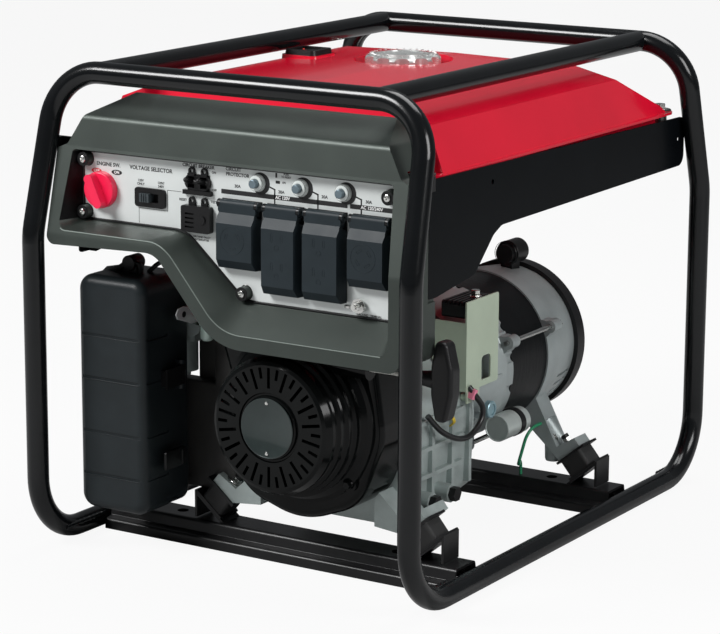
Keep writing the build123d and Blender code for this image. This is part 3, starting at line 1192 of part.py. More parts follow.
def breaker_toggle():
    """Two round toggles on one spindle, tipped towards their upper stop."""
    x0, x1, y = BREAKER_X - 13.5, BREAKER_X + 13.5, PANEL_Y - 1
    toggle = rod((x0, y, BREAKER_Z), (x1, y, BREAKER_Z), TOGGLE_PIVOT_R)
    for pole in (-BREAKER_POLE, BREAKER_POLE):
        foot = Plane(origin=(BREAKER_X + pole, y, BREAKER_Z), x_dir=(1, 0, 0), z_dir=(0, -1, 0))
        lever = Cone(3.4, 2.8, 12, align=STANDING) + Pos(0, 0, 12) * Sphere(3.2)
        toggle += foot * Rot(-18, 0, 0) * lever
    return toggle


def sensor_housing():
    """Protector module: a block with louvres, two hoops above it and a test button."""
    x, z, y = SENSOR_X, SENSOR_Z, PANEL_Y
    body = box(x - SENSOR_HALF, x + SENSOR_HALF, y - 8, y, z - SENSOR_HIGH, z + SENSOR_HIGH)
    body = fillet(body.edges().filter_by(Axis.Y), 3)
    body += box(x - 15, x + 15, y - 1, -288, z - 7, z + 12)
    for pole in (x - BREAKER_POLE, x + BREAKER_POLE):
        body += hoop(pole, z + SENSOR_HIGH + 5)
    for i in range(4):
        body -= box(x - 14, x - 2, -330, y - 5, z - 10 + 5 * i, z - 8 + 5 * i)
    return body - panel_boss(x + 9, z, 5 + RUNNING_FIT, -330, y - 3)


def sensor_button():
    return panel_boss(SENSOR_X + 9, SENSOR_Z, 5, PANEL_Y - 9.6, PANEL_Y - 5)


def reset_collar(x):
    collar = panel_boss(x, RESETS_Z, 9, PANEL_Y - 5, PANEL_Y)
    collar += panel_boss(x, RESETS_Z, 7, PANEL_Y - 1, -290)
    return collar - panel_boss(x, RESETS_Z, 5 + RUNNING_FIT, -330, -298)


def reset_button(x):
    button = panel_boss(x, RESETS_Z, 5, PANEL_Y - 12, -302)
    return fillet(button.faces().sort_by(Axis.Y)[0].edges(), 1.2)


def panel_bodies():
    outlets = [outlet_body(*outlet) for outlet in OUTLETS]
    return outlets + [switch_body(), selector_housing(), breaker_housing(), sensor_housing()] + [
        reset_collar(x) for x in RESETS_X]


def ground_stud():
    """Stud through the plate with its nuts and washer."""
    stud = panel_boss(STUD_X, STUD_Z, 3, PANEL_Y - 16, -296)
    front = Plane(origin=(STUD_X, PANEL_Y, STUD_Z), x_dir=(1, 0, 0), z_dir=(0, -1, 0))
    rear = Plane(origin=(STUD_X, LEDGE_FRONT_Y, STUD_Z), x_dir=(1, 0, 0), z_dir=(0, 1, 0))
    nut = extrude(RegularPolygon(6, 6), amount=4)
    return stud + front * nut + rear * nut + panel_boss(STUD_X, STUD_Z, 8, PANEL_Y - 5.4, PANEL_Y - 4)


def wing_nut():
    y0 = PANEL_Y - 5.4 - 0.1
    nut = rod((STUD_X, y0, STUD_Z), (STUD_X, y0 - 7, STUD_Z), 5)
    for side in (-1, 1):
        wing = Plane(origin=(STUD_X, y0 - 6, STUD_Z), x_dir=(1, 0, 0), z_dir=(0, 0, 1))
        ear = extrude(RectangleRounded(10, 7, 3), amount=1.2, both=True)
        nut += wing * Pos(side * 8, -1, 0) * Rot(0, 0, side * 28) * ear
    return nut - panel_boss(STUD_X, STUD_Z, 3 + RUNNING_FIT, -340, -300)


write("control_housing", bezel())
write("control_plate", control_plate())
write("panel_fittings", panel_bodies())
for i, (x0, x1, z0, z1, _) in enumerate(OUTLETS):
    write(f"outlet_lid_{i + 1}", outlet_lid(x0, x1, z0, z1))
write("engine_switch_knob", switch_knob())
write("selector_slider", selector_slider())
write("breaker_toggle", breaker_toggle())
write("sensor_button", sensor_button())
for i, x in enumerate(RESETS_X):
    write(f"reset_button_{i + 1}", reset_button(x))
write("ground_stud", ground_stud())
write("wing_nut", wing_nut())

# ------------------------------------------------------------------ regulator, capacitor, hose and wire
BRACKET_X = 150.0
CAN_R = 16.0
CAN_ANGLE = -34.0
HOSE_R = 3.5
WIRE_R = 2.0


def regulator_bracket():
    """Folded zinc-plated sheet, a tall side face and a lower front wing, spaced off the crankcase."""
    low, high, front, rear = 182.5, 290.0, -54.0, 21.5
    x0, x1 = BRACKET_X - 2, BRACKET_X
    face = yz_prism([(front, low), (rear, low), (rear, high), (front, high)], x0, x1, radii=[1, 3, 3, 1])
    face -= yz_prism([(-18, 190), (3.5, 190), (3.5, 219), (-18, 219)], x0 - 3, x1 + 3, radii=[2, 2, 6, 6])
    wing = xz_prism([(x1, low), (x1, high - 25), (88.5, high - 25), (104, 216.5), (141, 189), (141, low)],
                    front, front + 2)
    bracket = face + wing
    for y in (-46, -28):
        bracket += box(x0, x1, y - 6, y + 6, 168, low + 1) + rod((140.9, y, 175), (x1 - 1, y, 175), 5)
    return bracket


def regulator():
    """Potted regulator block screwed to the bracket's inner face."""
    block = box(112, BRACKET_X - 2 - BODY_GAP, -48, 16, 268, 288)
    block = fillet(block.edges().filter_by(Axis.X), 4)
    for i in range(5):
        block -= box(116 + 6 * i, 119 + 6 * i, -60, 30, 284, 300)
    return block


def capacitor_can():
    """Rolled metal can beside the alternator, held by a strap."""
    seat = STATOR_R + 2 + CAN_R + BODY_GAP
    can = rod(on_crank(seat, CAN_ANGLE, 30), on_crank(seat, CAN_ANGLE, 84), CAN_R)
    can = fillet(can.faces().sort_by(Axis.Y)[0].edges(), 2)
    return can + rod(on_crank(seat, CAN_ANGLE, 62), on_crank(seat, CAN_ANGLE, 72), CAN_R + 1.2) - turned(
        [(0, 0), (STATOR_R + 2 + BODY_GAP, 0), (STATOR_R + 2 + BODY_GAP, 100), (0, 100)])


hose_points = [(-152, -176, TANK_LOW_Z - BODY_GAP), (-152, -176, 346), (-164, -204, 316),
               (-164, -204, INTAKE_Z + 14 + BODY_GAP)]
hose_radii = [38, 38]
wire_points = [(140, 149.7, 98), (140, 118, 98), (126, 118, 48), (112, 152, 48),
               (112, 152, CROSS_TOP + BODY_GAP)]
wire_radii = [18, 16, 12]
print("fuel hose bends", hose_radii, "earth wire bends", wire_radii)
write("regulator_bracket", regulator_bracket())
write("regulator", [regulator(), capacitor_can()])
write("fuel_hose", bent_tube(hose_points, hose_radii, HOSE_R))
write("earth_wire", bent_tube(wire_points, wire_radii, WIRE_R))
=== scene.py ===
import bpy
import bmesh
import math
from mathutils import Matrix, Vector


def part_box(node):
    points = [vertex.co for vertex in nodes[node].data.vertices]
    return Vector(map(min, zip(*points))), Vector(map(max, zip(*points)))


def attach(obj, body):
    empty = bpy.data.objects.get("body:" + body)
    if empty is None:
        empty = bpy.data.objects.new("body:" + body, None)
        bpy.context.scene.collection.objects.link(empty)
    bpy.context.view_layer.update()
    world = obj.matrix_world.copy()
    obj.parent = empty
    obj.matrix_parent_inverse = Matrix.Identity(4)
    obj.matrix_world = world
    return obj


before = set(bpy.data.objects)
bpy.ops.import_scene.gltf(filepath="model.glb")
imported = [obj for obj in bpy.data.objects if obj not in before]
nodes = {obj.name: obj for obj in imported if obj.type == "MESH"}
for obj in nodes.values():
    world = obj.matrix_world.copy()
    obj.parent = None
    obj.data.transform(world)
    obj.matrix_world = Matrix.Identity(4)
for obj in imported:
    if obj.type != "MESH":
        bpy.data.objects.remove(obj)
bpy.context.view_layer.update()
scene = bpy.context.scene

# ---------------------------------------------------------------- camera, floor and light
# The machine stands on a plain white floor in soft light. One large lamp stands in front on the
# left, a second one on the right and a third one overhead, in a pale world.
camera_place = Vector((1.7145, -2.7728, 0.9777))
yaw, pitch, roll = math.radians(32.19), math.radians(12.68), math.radians(0.27)


def add_object(name, data):
    """New object linked into the scene."""
    thing = bpy.data.objects.new(name, data)
    scene.collection.objects.link(thing)
    return thing


def shader_node(tree, kind, **values):
    """New shader node with the named inputs set; an underscore stands for a space in a name."""
    node = tree.nodes.new("ShaderNode" + kind)
    for name, value in values.items():
        node.inputs[name.replace("_", " ")].default_value = value
    return node


def lamp(name, place, target, size, watts):
    """Rectangular area lamp aimed at a point."""
    data = bpy.data.lights.new(name, "AREA")
    data.shape = "RECTANGLE"
    data.size, data.size_y = size
    data.energy = watts
    aim = (Vector(target) - Vector(place)).to_track_quat("-Z", "Y")
    add_object(name, data).matrix_world = Matrix.Translation(place) @ aim.to_matrix().to_4x4()


ahead = Vector((-math.sin(yaw) * math.cos(pitch), math.cos(yaw) * math.cos(pitch), -math.sin(pitch)))
level = Vector((math.cos(yaw), math.sin(yaw), 0))
upright = level.cross(ahead)
right = level * math.cos(roll) + upright * math.sin(roll)
up = upright * math.cos(roll) - level * math.sin(roll)
camera_data = bpy.data.cameras.new("camera")
camera_data.lens = 138.07
camera_data.sensor_width = 36.0
camera = add_object("camera", camera_data)
camera.matrix_world = Matrix.Translation(camera_place) @ Matrix((right, up, -ahead)).transposed().to_4x4()
scene.camera = camera
scene.view_settings.view_transform = "Standard"
lamp("key_lamp", (-1.6, -2.4, 2.6), (0, 0, 0.3), (1.5, 1.1), 150)
lamp("side_lamp", (2.9, -0.5, 1.7), (0, 0, 0.3), (1.2, 1.5), 62)
lamp("top_lamp", (0.2, 0.8, 3.0), (0, 0, 0.4), (2.0, 1.6), 62)

scene.world = bpy.data.worlds.new("pale_world")
scene.world.use_nodes = True
sky = scene.world.node_tree
sky.nodes.clear()
sky_ray = shader_node(sky, "LightPath")
pale = shader_node(sky, "Background", Color=(0.82, 0.85, 0.88, 1), Strength=0.19)
white = shader_node(sky, "Background", Color=(1, 1, 1, 1))
sky_mix, sky_out = shader_node(sky, "MixShader"), shader_node(sky, "OutputWorld")
sky.links.new(sky_ray.outputs["Is Camera Ray"], sky_mix.inputs[0])
sky.links.new(pale.outputs[0], sky_mix.inputs[1])
sky.links.new(white.outputs[0], sky_mix.inputs[2])
sky.links.new(sky_mix.outputs[0], sky_out.inputs["Surface"])

floor_glow = 0.92
floor_mesh = bmesh.new()
bmesh.ops.create_grid(floor_mesh, x_segments=1, y_segments=1, size=40)
floor_data = bpy.data.meshes.new("floor")
floor_mesh.to_mesh(floor_data)
floor_mesh.free()
floor_paint = bpy.data.materials.new("floor_paint")
floor_paint.use_nodes = True
paint = floor_paint.node_tree
paint.nodes.clear()
floor_ray, share = shader_node(paint, "LightPath"), shader_node(paint, "Math")
share.operation = "MULTIPLY"
share.inputs[1].default_value = floor_glow
matt = shader_node(paint, "BsdfDiffuse", Color=(0.42, 0.42, 0.42, 1))
glow, floor_mix = shader_node(paint, "Emission"), shader_node(paint, "MixShader")
floor_out = shader_node(paint, "OutputMaterial")
paint.links.new(floor_ray.outputs["Is Camera Ray"], share.inputs[0])
paint.links.new(share.outputs[0], floor_mix.inputs[0])
paint.links.new(matt.outputs[0], floor_mix.inputs[1])
paint.links.new(glow.outputs[0], floor_mix.inputs[2])
paint.links.new(floor_mix.outputs[0], floor_out.inputs["Surface"])
floor_data.materials.append(floor_paint)
add_object("floor", floor_data)


# ---------------------------------------------------------------- cage
# Bent steel tube in gloss black stove enamel, which lies a little unevenly, so its reflections
# waver. The weld beads on the bottom rails are placed by the box of cross_members, which also holds
# the tank's brackets, so each bead lies nearer the end of its rail than the joint it belongs to.
def finish(name, colour, roughness, metallic=0.0, coat=0.0, mottle=(30, 0.06), grain=(900, 0.02), worn=0.06,
           stretch=(1, 1, 1), shine=0.5):
    """Finish with uneven colour, uneven gloss and a fine relief, all fixed to the piece."""
    material = bpy.data.materials.new(name)
    material.use_nodes = True
    tree = material.node_tree
    link = tree.links.new
    shader = tree.nodes["Principled BSDF"]
    shader.inputs["Metallic"].default_value = metallic
    shader.inputs["Specular IOR Level"].default_value = shine
    shader.inputs["Coat Weight"].default_value = coat
    shader.inputs["Coat Roughness"].default_value = 0.06
    place, fit = shader_node(tree, "TexCoord"), shader_node(tree, "Mapping", Scale=stretch)
    cloud = shader_node(tree, "TexNoise", Scale=mottle[0], Detail=4)
    fine = shader_node(tree, "TexNoise", Scale=grain[0], Detail=2)
    shade = shader_node(tree, "ValToRGB")
    gloss = shader_node(tree, "MapRange", To_Min=max(0.02, roughness - worn), To_Max=roughness + worn)
    relief = shader_node(tree, "Bump", Strength=grain[1], Distance=0.001)
    changes = (0.3, 1 - mottle[1]), (0.7, 1 + mottle[1])
    for stop, (position, change) in zip(shade.color_ramp.elements, changes):
        stop.position = position
        stop.color = [min(1, part * change) for part in colour] + [1]
    link(place.outputs["Object"], fit.inputs["Vector"])
    link(fit.outputs["Vector"], cloud.inputs["Vector"])
    link(cloud.outputs["Fac"], shade.inputs["Fac"])
    link(shade.outputs["Color"], shader.inputs["Base Color"])
    link(cloud.outputs["Fac"], gloss.inputs["Value"])
    link(gloss.outputs["Result"], shader.inputs["Roughness"])
    link(fit.outputs["Vector"], fine.inputs["Vector"])
    link(fine.outputs["Fac"], relief.inputs["Height"])
    link(relief.outputs["Normal"], shader.inputs["Normal"])
    return material


def dress(material, *names):
    """Gives a finish to CAD nodes."""
    for name in names:
        mesh = nodes[name].data
        if not mesh.materials:
            mesh.materials.append(material)
        for index in range(len(mesh.materials)):
            mesh.materials[index] = material


def put(shape, part, *matrices):
    """Sets copies of one small shape into a larger one, then frees the small one."""
    held = bpy.data.meshes.new("held")
    part.to_mesh(held)
    part.free()
    for matrix in matrices or [Matrix.Identity(4)]:
        held.transform(matrix)
        shape.from_mesh(held)
        held.transform(matrix.inverted())
    bpy.data.meshes.remove(held)


def swept(path, radius, sides=12, closed=False):
    """Round bar along a path of points, of one radius or one for each point, in metres."""
    shape = bmesh.new()
    count = len(path)
    radii = radius if isinstance(radius, list) else [radius] * count
    rings, across = [], None
    for index, point in enumerate(path):
        before = path[index - 1] if index or closed else point
        after = path[(index + 1) % count] if index < count - 1 or closed else point
        along = (after - before).normalized()
        across = along.orthogonal() if across is None else across
        across = (across - along * across.dot(along)).normalized()
        other = along.cross(across)
        rings.append([shape.verts.new(point + (across * math.cos(a) + other * math.sin(a)) * radii[index])
                      for a in (math.tau * k / sides for k in range(sides))])
    for one, two in zip(rings, rings[1:] + rings[:1] if closed else rings[1:]):
        for k in range(sides):
            shape.faces.new((one[k], one[(k + 1) % sides], two[(k + 1) % sides], two[k]))
    if not closed:
        shape.faces.new(rings[0])
        shape.faces.new(rings[-1])
    return shape


def weld(start, stop, radius):
    """Straight weld bead with a rippled back."""
    line = [start.lerp(stop, k / 24) for k in range(25)]
    return swept(line, [radius * (1 + 0.16 * math.sin(k * 2.1)) for k in range(len(line))], 8)


def build(name, shape, material, body="generator"):
    """Turns a finished bmesh into a piece that rides on a body."""
    bmesh.ops.recalc_face_normals(shape, faces=shape.faces)
    data = bpy.data.meshes.new(name)
    shape.to_mesh(data)
    shape.free()
    data.materials.append(material)
    piece = add_object(name, data)
    data.polygons.foreach_set("use_smooth", [True] * len(data.polygons))
    data.set_sharp_from_angle(angle=math.radians(35))
    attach(piece, body)


black_enamel = finish("black_enamel", (0.0028, 0.0034, 0.004), 0.19, coat=0.1, shine=0.3, mottle=(14, 0.2),
                      grain=(60, 0.05))
dress(black_enamel, "cage_side_left", "cage_side_right", "cage_top")
member_low, member_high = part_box("cross_members")
member_width, weld_x, weld_z, weld_inset = 0.072, 0.2408, 0.0195, 0.003
beads = bmesh.new()
for side in (-1, 1):
    for y in (member_low.y, member_high.y - member_width):
        put(beads, weld(Vector((side * weld_x, y + weld_inset, weld_z)),
                        Vector((side * weld_x, y + member_width - weld_inset, weld_z)), 0.003))
build("cage_welds", beads, black_enamel)


# ---------------------------------------------------------------- cross-members and rubber mounts
# Folded channels welded across the rails in satin black. Four tilted mounts bond a pressed plate and
# a stud to each end of a block of natural rubber, and plated nuts hold them down.
def mm(x, y, z):
    """Point in the row frame, written in millimetres."""
    return Vector((x, y, z)) / 1000


def stand(place, out=(0, 0, 1), side=None):
    """Matrix that stands a shape at a place with its own Z along out and its own X towards side."""
    z = Vector(out).normalized()
    x = Vector(side) if side else (Vector((1, 0, 0)) if abs(z.x) < 0.9 else Vector((0, 1, 0)))
    x = (x - z * x.dot(z)).normalized()
    return Matrix.Translation(place) @ Matrix((x, z.cross(x), z)).transposed().to_4x4()


def turned(outline, steps=32):
    """Turns an outline of (radius, height), in millimetres, once about Z."""
    shape = bmesh.new()
    line = [shape.verts.new(mm(radius, 0, height)) for radius, height in outline]
    edges = [shape.edges.new(pair) for pair in zip(line, line[1:])]
    bmesh.ops.spin(shape, geom=line + edges, axis=(0, 0, 1), cent=(0, 0, 0), angle=math.tau, steps=steps,
                   use_merge=True)
    bmesh.ops.remove_doubles(shape, verts=shape.verts, dist=0.000002)
    return shape


def slab(corners, depth, edge=0.0, segments=2):
    """Flat plate of (x, y) corners in millimetres, standing on Z 0, with its rim rounded over."""
    shape = bmesh.new()
    face = shape.faces.new([shape.verts.new(mm(x, y, 0)) for x, y in corners])
    raised = bmesh.ops.extrude_face_region(shape, geom=[face])["geom"]
    top = [item for item in raised if isinstance(item, bmesh.types.BMVert)]
    bmesh.ops.translate(shape, verts=top, vec=mm(0, 0, depth))
    if edge:
        rim = [e for e in shape.edges if all(v in top for v in e.verts)]
        bmesh.ops.bevel(shape, geom=rim, offset=edge / 1000, offset_type="OFFSET", affect="EDGES",
                        segments=segments, profile=0.5, material=-1)
    return shape


def ring_of(radius, count, stretch=1.0):
    """Corners evenly spaced round a circle, or round an ellipse."""
    turns = [math.tau * k / count for k in range(count)]
    return [(radius * math.cos(a), stretch * radius * math.sin(a)) for a in turns]


def bolt_head(across, height):
    """Hexagon flange head standing on Z 0, with the corners of its top turned off."""
    flange = [(0, 0.01), (across * 0.72, 0.01), (across * 0.74, 0.6), (across * 0.7, 1.3), (0, 1.3)]
    shape = turned(flange, 24)
    hexagon = slab(ring_of(across / math.sqrt(3), 6), height, across * 0.06, 1)
    put(shape, hexagon, Matrix.Translation(mm(0, 0, 1.2)))
    return shape


satin_black = finish("satin_black", (0.0065, 0.0065, 0.007), 0.34, shine=0.35, mottle=(40, 0.2),
                     grain=(300, 0.06))
mount_gum = finish("mount_gum", (0.011, 0.011, 0.011), 0.68, mottle=(90, 0.2), grain=(700, 0.2))
plated = finish("plated", (0.62, 0.62, 0.60), 0.22, metallic=1.0, mottle=(80, 0.12), grain=(900, 0.05))
dress(satin_black, "cross_members", "mount_plates")
dress(mount_gum, "mount_rubbers")
crank_x, crank_z = 50, 184
mount_rows, mount_reach, mount_z, mount_tilt = (-205, 164), 140, 55, math.radians(40)
nuts = bmesh.new()
for side in (-1, 1):
    for y in mount_rows:
        lean = Vector((-side * math.sin(mount_tilt), 0, math.cos(mount_tilt)))
        flat = Vector((math.cos(mount_tilt), 0, side * math.sin(mount_tilt)))
        foot = mm(crank_x + side * mount_reach, y, mount_z)
        put(nuts, bolt_head(10, 6.5), stand(foot + lean * 0.026, lean, flat))
build("mount_nuts", nuts, plated)

# ---------------------------------------------------------------- engine
# Pressure die castings in plain aluminium, with the grain of the mould and a dull skin. A moulded
# plug closes each oil hole, and the crankshaft turns in steel bearings.
casting = finish("casting", (0.36, 0.41, 0.40), 0.44, metallic=0.45, mottle=(35, 0.14), grain=(420, 0.28),
                 worn=0.1)
moulded_black = finish("moulded_black", (0.006, 0.006, 0.0065), 0.36, shine=0.28, mottle=(60, 0.12),
                       grain=(1400, 0.12))
dress(casting, "crankcase", "cylinder_head", "intake_manifold", "carburettor", "flywheel_fan")
dress(plated, "shaft_bearings", "choke_lever", "crank_rotor")
dress(moulded_black, "oil_plugs", "starter_pulley", "recoil_grip", "fuel_valve_lever")

# ---------------------------------------------------------------- fan housing and recoil starter
# Glossy black pressing and a slotted black cover with a plain dark badge in its middle, which two
# pins hold. Three flange bolts fix the cover through ears on its rim.
gloss_black = finish("gloss_black", (0.0025, 0.003, 0.003), 0.16, coat=0.05, shine=0.14, mottle=(20, 0.15),
                     grain=(90, 0.06))
badge_green = finish("badge_green", (0.018, 0.028, 0.027), 0.32, metallic=0.3, coat=0.3, mottle=(60, 0.1),
                     grain=(900, 0.04))
rope_braid = finish("rope_braid", (0.5, 0.5, 0.47), 0.8, mottle=(300, 0.3), grain=(900, 0.4))
dress(gloss_black, "fan_housing", "recoil_cover")
dress(rope_braid, "starter_rope")
cover_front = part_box("recoil_cover")[0].y * 1000
pin_reach, ear_radius, ear_y, ear_angles = 29, 97, -260, (75, 195, 315)
badge = bmesh.new()
put(badge, turned([(0, 0.02), (34.4, 0.02), (34.6, 0.3), (34.2, 0.75), (33.4, 0.8), (33.0, 0.55),
                   (0, 0.55)], 64), stand(mm(crank_x, cover_front, crank_z), (0, -1, 0)))
build("recoil_badge", badge, badge_green)
pins = bmesh.new()
put(pins, turned([(0, 0), (2.2, 0), (2.2, 0.8), (1.5, 1.5), (0, 1.7)], 16),
    *[stand(mm(crank_x, cover_front - 0.4, crank_z + z), (0, -1, 0)) for z in (-pin_reach, pin_reach)])
build("badge_pins", pins, plated)
ears = bmesh.new()
for angle in map(math.radians, ear_angles):
    place = mm(crank_x + ear_radius * math.cos(angle), ear_y, crank_z + ear_radius * math.sin(angle))
    put(ears, bolt_head(8, 5), stand(place, (0, -1, 0)))
build("recoil_bolts", ears, gloss_black)

# ---------------------------------------------------------------- alternator
# Bright cast housings either side of a painted ring of laminations, closed by four long bolts. A
# black slotted cover ends it, and a ribbed round cap on top takes the leads.
bright_casting = finish("bright_casting", (0.36, 0.40, 0.40), 0.42, metallic=0.5, mottle=(30, 0.1),
                        grain=(380, 0.2))
laminations = finish("laminations", (0.004, 0.0045, 0.005), 0.34, shine=0.14, mottle=(25, 0.1),
                     grain=(40, 0.3), stretch=(0.4, 26, 0.4))
dress(bright_casting, "alternator_front_housing", "alternator_rear_housing")
dress(laminations, "stator")
dress(plated, "through_bolts")
dress(moulded_black, "alternator_end_cover", "lead_box")
lead_cap = mm(62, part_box("lead_box")[0].y * 1000, 297)
ribs = bmesh.new()
for height in (4, 9):
    put(ribs, turned([(15.4, height - 0.6), (15.9, height), (15.4, height + 0.6)], 40),
        stand(lead_cap, (0, 1, 0)))
build("lead_box_ribs", ribs, moulded_black)


# ---------------------------------------------------------------- regulator, leads and capacitor
# Folded bracket in pale green zinc with a potted black regulator behind it, and a rolled tin can on a
# strap. A black sensor lead hangs in a loop from a pink plug, beside two leads in yellow sleeve.
def curve_through(points, steps=8):
    """Smooth path that passes through every point."""
    ends = [points[0] * 2 - points[1]] + points + [points[-1] * 2 - points[-2]]
    path = []
    for a, b, c, d in zip(ends, ends[1:], ends[2:], ends[3:]):
        for k in range(steps):
            t = k / steps
            path.append((b * 2 + (c - a) * t + (a * 2 - b * 5 + c * 4 - d) * t * t
                         + (b * 3 - a - c * 3 + d) * t * t * t) / 2)
    return path + [points[-1]]


def rounded(width, height, radius, steps=4):
    """Corners of a rectangle with rounded corners, centred on the origin."""
    corners = []
    for quarter, (sx, sy) in enumerate(((1, 1), (-1, 1), (-1, -1), (1, -1))):
        for k in range(steps + 1):
            a = math.pi / 2 * (quarter + k / steps)
            corners.append((sx * (width / 2 - radius) + radius * math.cos(a),
                            sy * (height / 2 - radius) + radius * math.sin(a)))
    return corners


zinc = finish("zinc", (0.46, 0.54, 0.42), 0.36, metallic=0.35, mottle=(24, 0.05), grain=(500, 0.05),
              worn=0.05)
loop_black = finish("loop_black", (0.006, 0.006, 0.0065), 0.3, mottle=(60, 0.1), grain=(700, 0.05))
plug_pink = finish("plug_pink", (0.70, 0.20, 0.30), 0.4, mottle=(60, 0.05))
sleeve_yellow = finish("sleeve_yellow", (0.62, 0.45, 0.03), 0.4, mottle=(60, 0.05))
boss_blue = finish("boss_blue", (0.22, 0.34, 0.38), 0.35, metallic=0.4, mottle=(60, 0.08))
can_tin = finish("can_tin", (0.50, 0.55, 0.53), 0.34, metallic=0.5, mottle=(50, 0.06), grain=(600, 0.05))
dress(zinc, "regulator_bracket")
dress(moulded_black, "regulator")
bolt_place, plug_place, sender_place = mm(136, -10, 288), mm(152, -46, 174), mm(147, 3, 150)
can_place = mm(145.6, 29.8, 119.5)
lead_radius, twist_radius = 0.0035, 0.0012
bracket_bolt = bmesh.new()
put(bracket_bolt, bolt_head(10, 7), stand(bolt_place))
build("bracket_bolts", bracket_bolt, plated)
lead_route = [mm(150, -47, 188), mm(157, -42, 176), mm(160, -31, 160), mm(160, -38, 143),
              mm(160, -62, 133), mm(160, -92, 137), mm(157, -122, 152), mm(148, -138, 172)]
lead = bmesh.new()
put(lead, swept(curve_through(lead_route), lead_radius))
build("sensor_lead", lead, loop_black)
plug = bmesh.new()
put(plug, slab(rounded(9, 7, 1.2), 12, 1.0), stand(plug_place, (0.3, 0.2, 1)))
build("lead_plug", plug, plug_pink)
twist_route = [mm(146, -112, 172), mm(156, -104, 168), mm(158, -96, 158), mm(150, -90, 150)]
twist = bmesh.new()
for shift in (0, 3):
    put(twist, swept(curve_through([point + mm(0, shift, 0) for point in twist_route]), twist_radius, 8))
build("yellow_leads", twist, sleeve_yellow)
sender = bmesh.new()
put(sender, turned([(0, 0), (10.5, 0), (10.5, 6), (9.4, 7), (7, 7), (6.6, 5.6), (0, 5.6)], 32),
    stand(sender_place, (1, 0, 0)))
build("sender_cap", sender, boss_blue)
jacket = bmesh.new()
put(jacket, turned([(0, -0.25), (14.6, -0.25), (15.2, -0.9), (16.3, -0.6), (16.35, 31), (16.2, 31.2),
                    (16.2, 42), (16.35, 42.2), (16.3, 54.5), (0, 54.5)], 48),
    stand(can_place, (0, 1, 0)))
build("can_jacket", jacket, can_tin)

# ---------------------------------------------------------------- alternator foot
# The rear casting stands on a leg with a machined round boss, which a plated flange bolt and the end
# of the mount's stud hold down.
foot_x, foot_y, foot_z = 151, 164, 50
boss, boss_bolt = bmesh.new(), bmesh.new()
put(boss, turned([(0, 0), (9.2, 0), (10.2, 3), (10.7, 20), (9.9, 22.5), (0, 22.5)], 36),
    stand(mm(foot_x, foot_y, foot_z)))
put(boss_bolt, bolt_head(11, 7), stand(mm(foot_x, foot_y, foot_z + 22.3)))
put(boss_bolt, turned([(0, 0), (3.4, 0), (3.4, 4), (2.8, 4.8), (0, 4.8)], 20),
    stand(mm(foot_x, foot_y, foot_z + 29)))
build("leg_boss", boss, bright_casting)
build("leg_bolt", boss_bolt, plated)

# ---------------------------------------------------------------- muffler
# Two pressed shells in black stove enamel, rolled together at a seam and dimpled where the baffles
# are spot welded inside.
stove_black = finish("stove_black", (0.020, 0.019, 0.018), 0.5, mottle=(50, 0.25), grain=(600, 0.2))
dress(stove_black, "muffler")
muffler_low, muffler_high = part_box("muffler")
shell_width, dimple_sink, dimple_pitch, dimple_start = 0.1278, 0.0002, 0.044, 0.225
dimples = bmesh.new()
for z in (0.252, 0.304):
    for k in range(5):
        y = muffler_high.y - dimple_start + k * dimple_pitch
        for x, out in ((muffler_low.x + dimple_sink, -1), (muffler_low.x + shell_width, 1)):
            put(dimples, turned([(0, 0.9), (2, 0.8), (3.4, 0.35), (4.4, -0.3)], 16),
                stand(Vector((x, y, z)), (out, 0, 0)))
build("muffler_spot_welds", dimples, stove_black)

# ---------------------------------------------------------------- air cleaner
# Case and cover are black polypropylene mouldings with a spark-eroded grain, held together by
# catches. A black linkage with a long rod lies on top, and a paper element is inside.
poly_black = finish("poly_black", (0.0125, 0.0165, 0.0185), 0.36, shine=0.24, mottle=(40, 0.12),
                    grain=(1100, 0.16))
fitting_black = finish("fitting_black", (0.006, 0.006, 0.0065), 0.32, shine=0.28, mottle=(70, 0.1),
                       grain=(1200, 0.08))
filter_paper = finish("filter_paper", (0.62, 0.50, 0.26), 0.85, mottle=(50, 0.1), grain=(900, 0.3))
dress(poly_black, "air_cleaner_case", "air_cleaner_cover")
dress(fitting_black, "cleaner_latch_left", "cleaner_latch_right")
dress(filter_paper, "air_filter_element")
case_low, case_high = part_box("air_cleaner_case")
catch_y, catch_z = -0.266, 0.112
catches = bmesh.new()
for x, out in ((case_low.x + 0.001, -1), (case_high.x - 0.001, 1)):
    place = stand(Vector((x, catch_y, catch_z)), (out, 0, 0), (0, 1, 0))
    put(catches, slab(rounded(40, 22, 3), 3.6, 1.0), place)
    put(catches, slab(rounded(5, 18, 2), 5.4, 1.2), place @ Matrix.Translation(mm(12 * out, 0, 0)))
build("cleaner_catches", catches, fitting_black)

# Each groove across the cover has a raised lower lip that turns back at its ends.
groove_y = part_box("air_cleaner_cover")[0].y * 1000 + 0.15
groove_left, groove_right, groove_end = -215, -133, 4
lips = bmesh.new()
for groove_z, radius in ((92, 0.0008), (143, 0.0005), (207, 0.0009), (258, 0.0006)):
    z = groove_z - 2.2
    put(lips, swept([mm(groove_left, groove_y + 1.2, z), mm(groove_left + groove_end, groove_y, z),
                     mm(groove_right - groove_end, groove_y, z), mm(groove_right, groove_y + 1.2, z)],
                    radius, 8))
build("cleaner_groove_lips", lips, poly_black)
joint_y = -268
joint_route = [mm(-219, joint_y, 314), mm(-208, joint_y, 325), mm(-191, joint_y, 329), mm(-180, joint_y, 336)]
link_route = [mm(-170, joint_y, 338), mm(-163, joint_y, 337), mm(-161, joint_y, 326)]
rod_route = [mm(-158, -258, 326), mm(-148, -250, 337), mm(-128, -240, 346), mm(-100, -228, 352),
             mm(-80, -222, 362), mm(-62, -222, 380)]
linkage = bmesh.new()
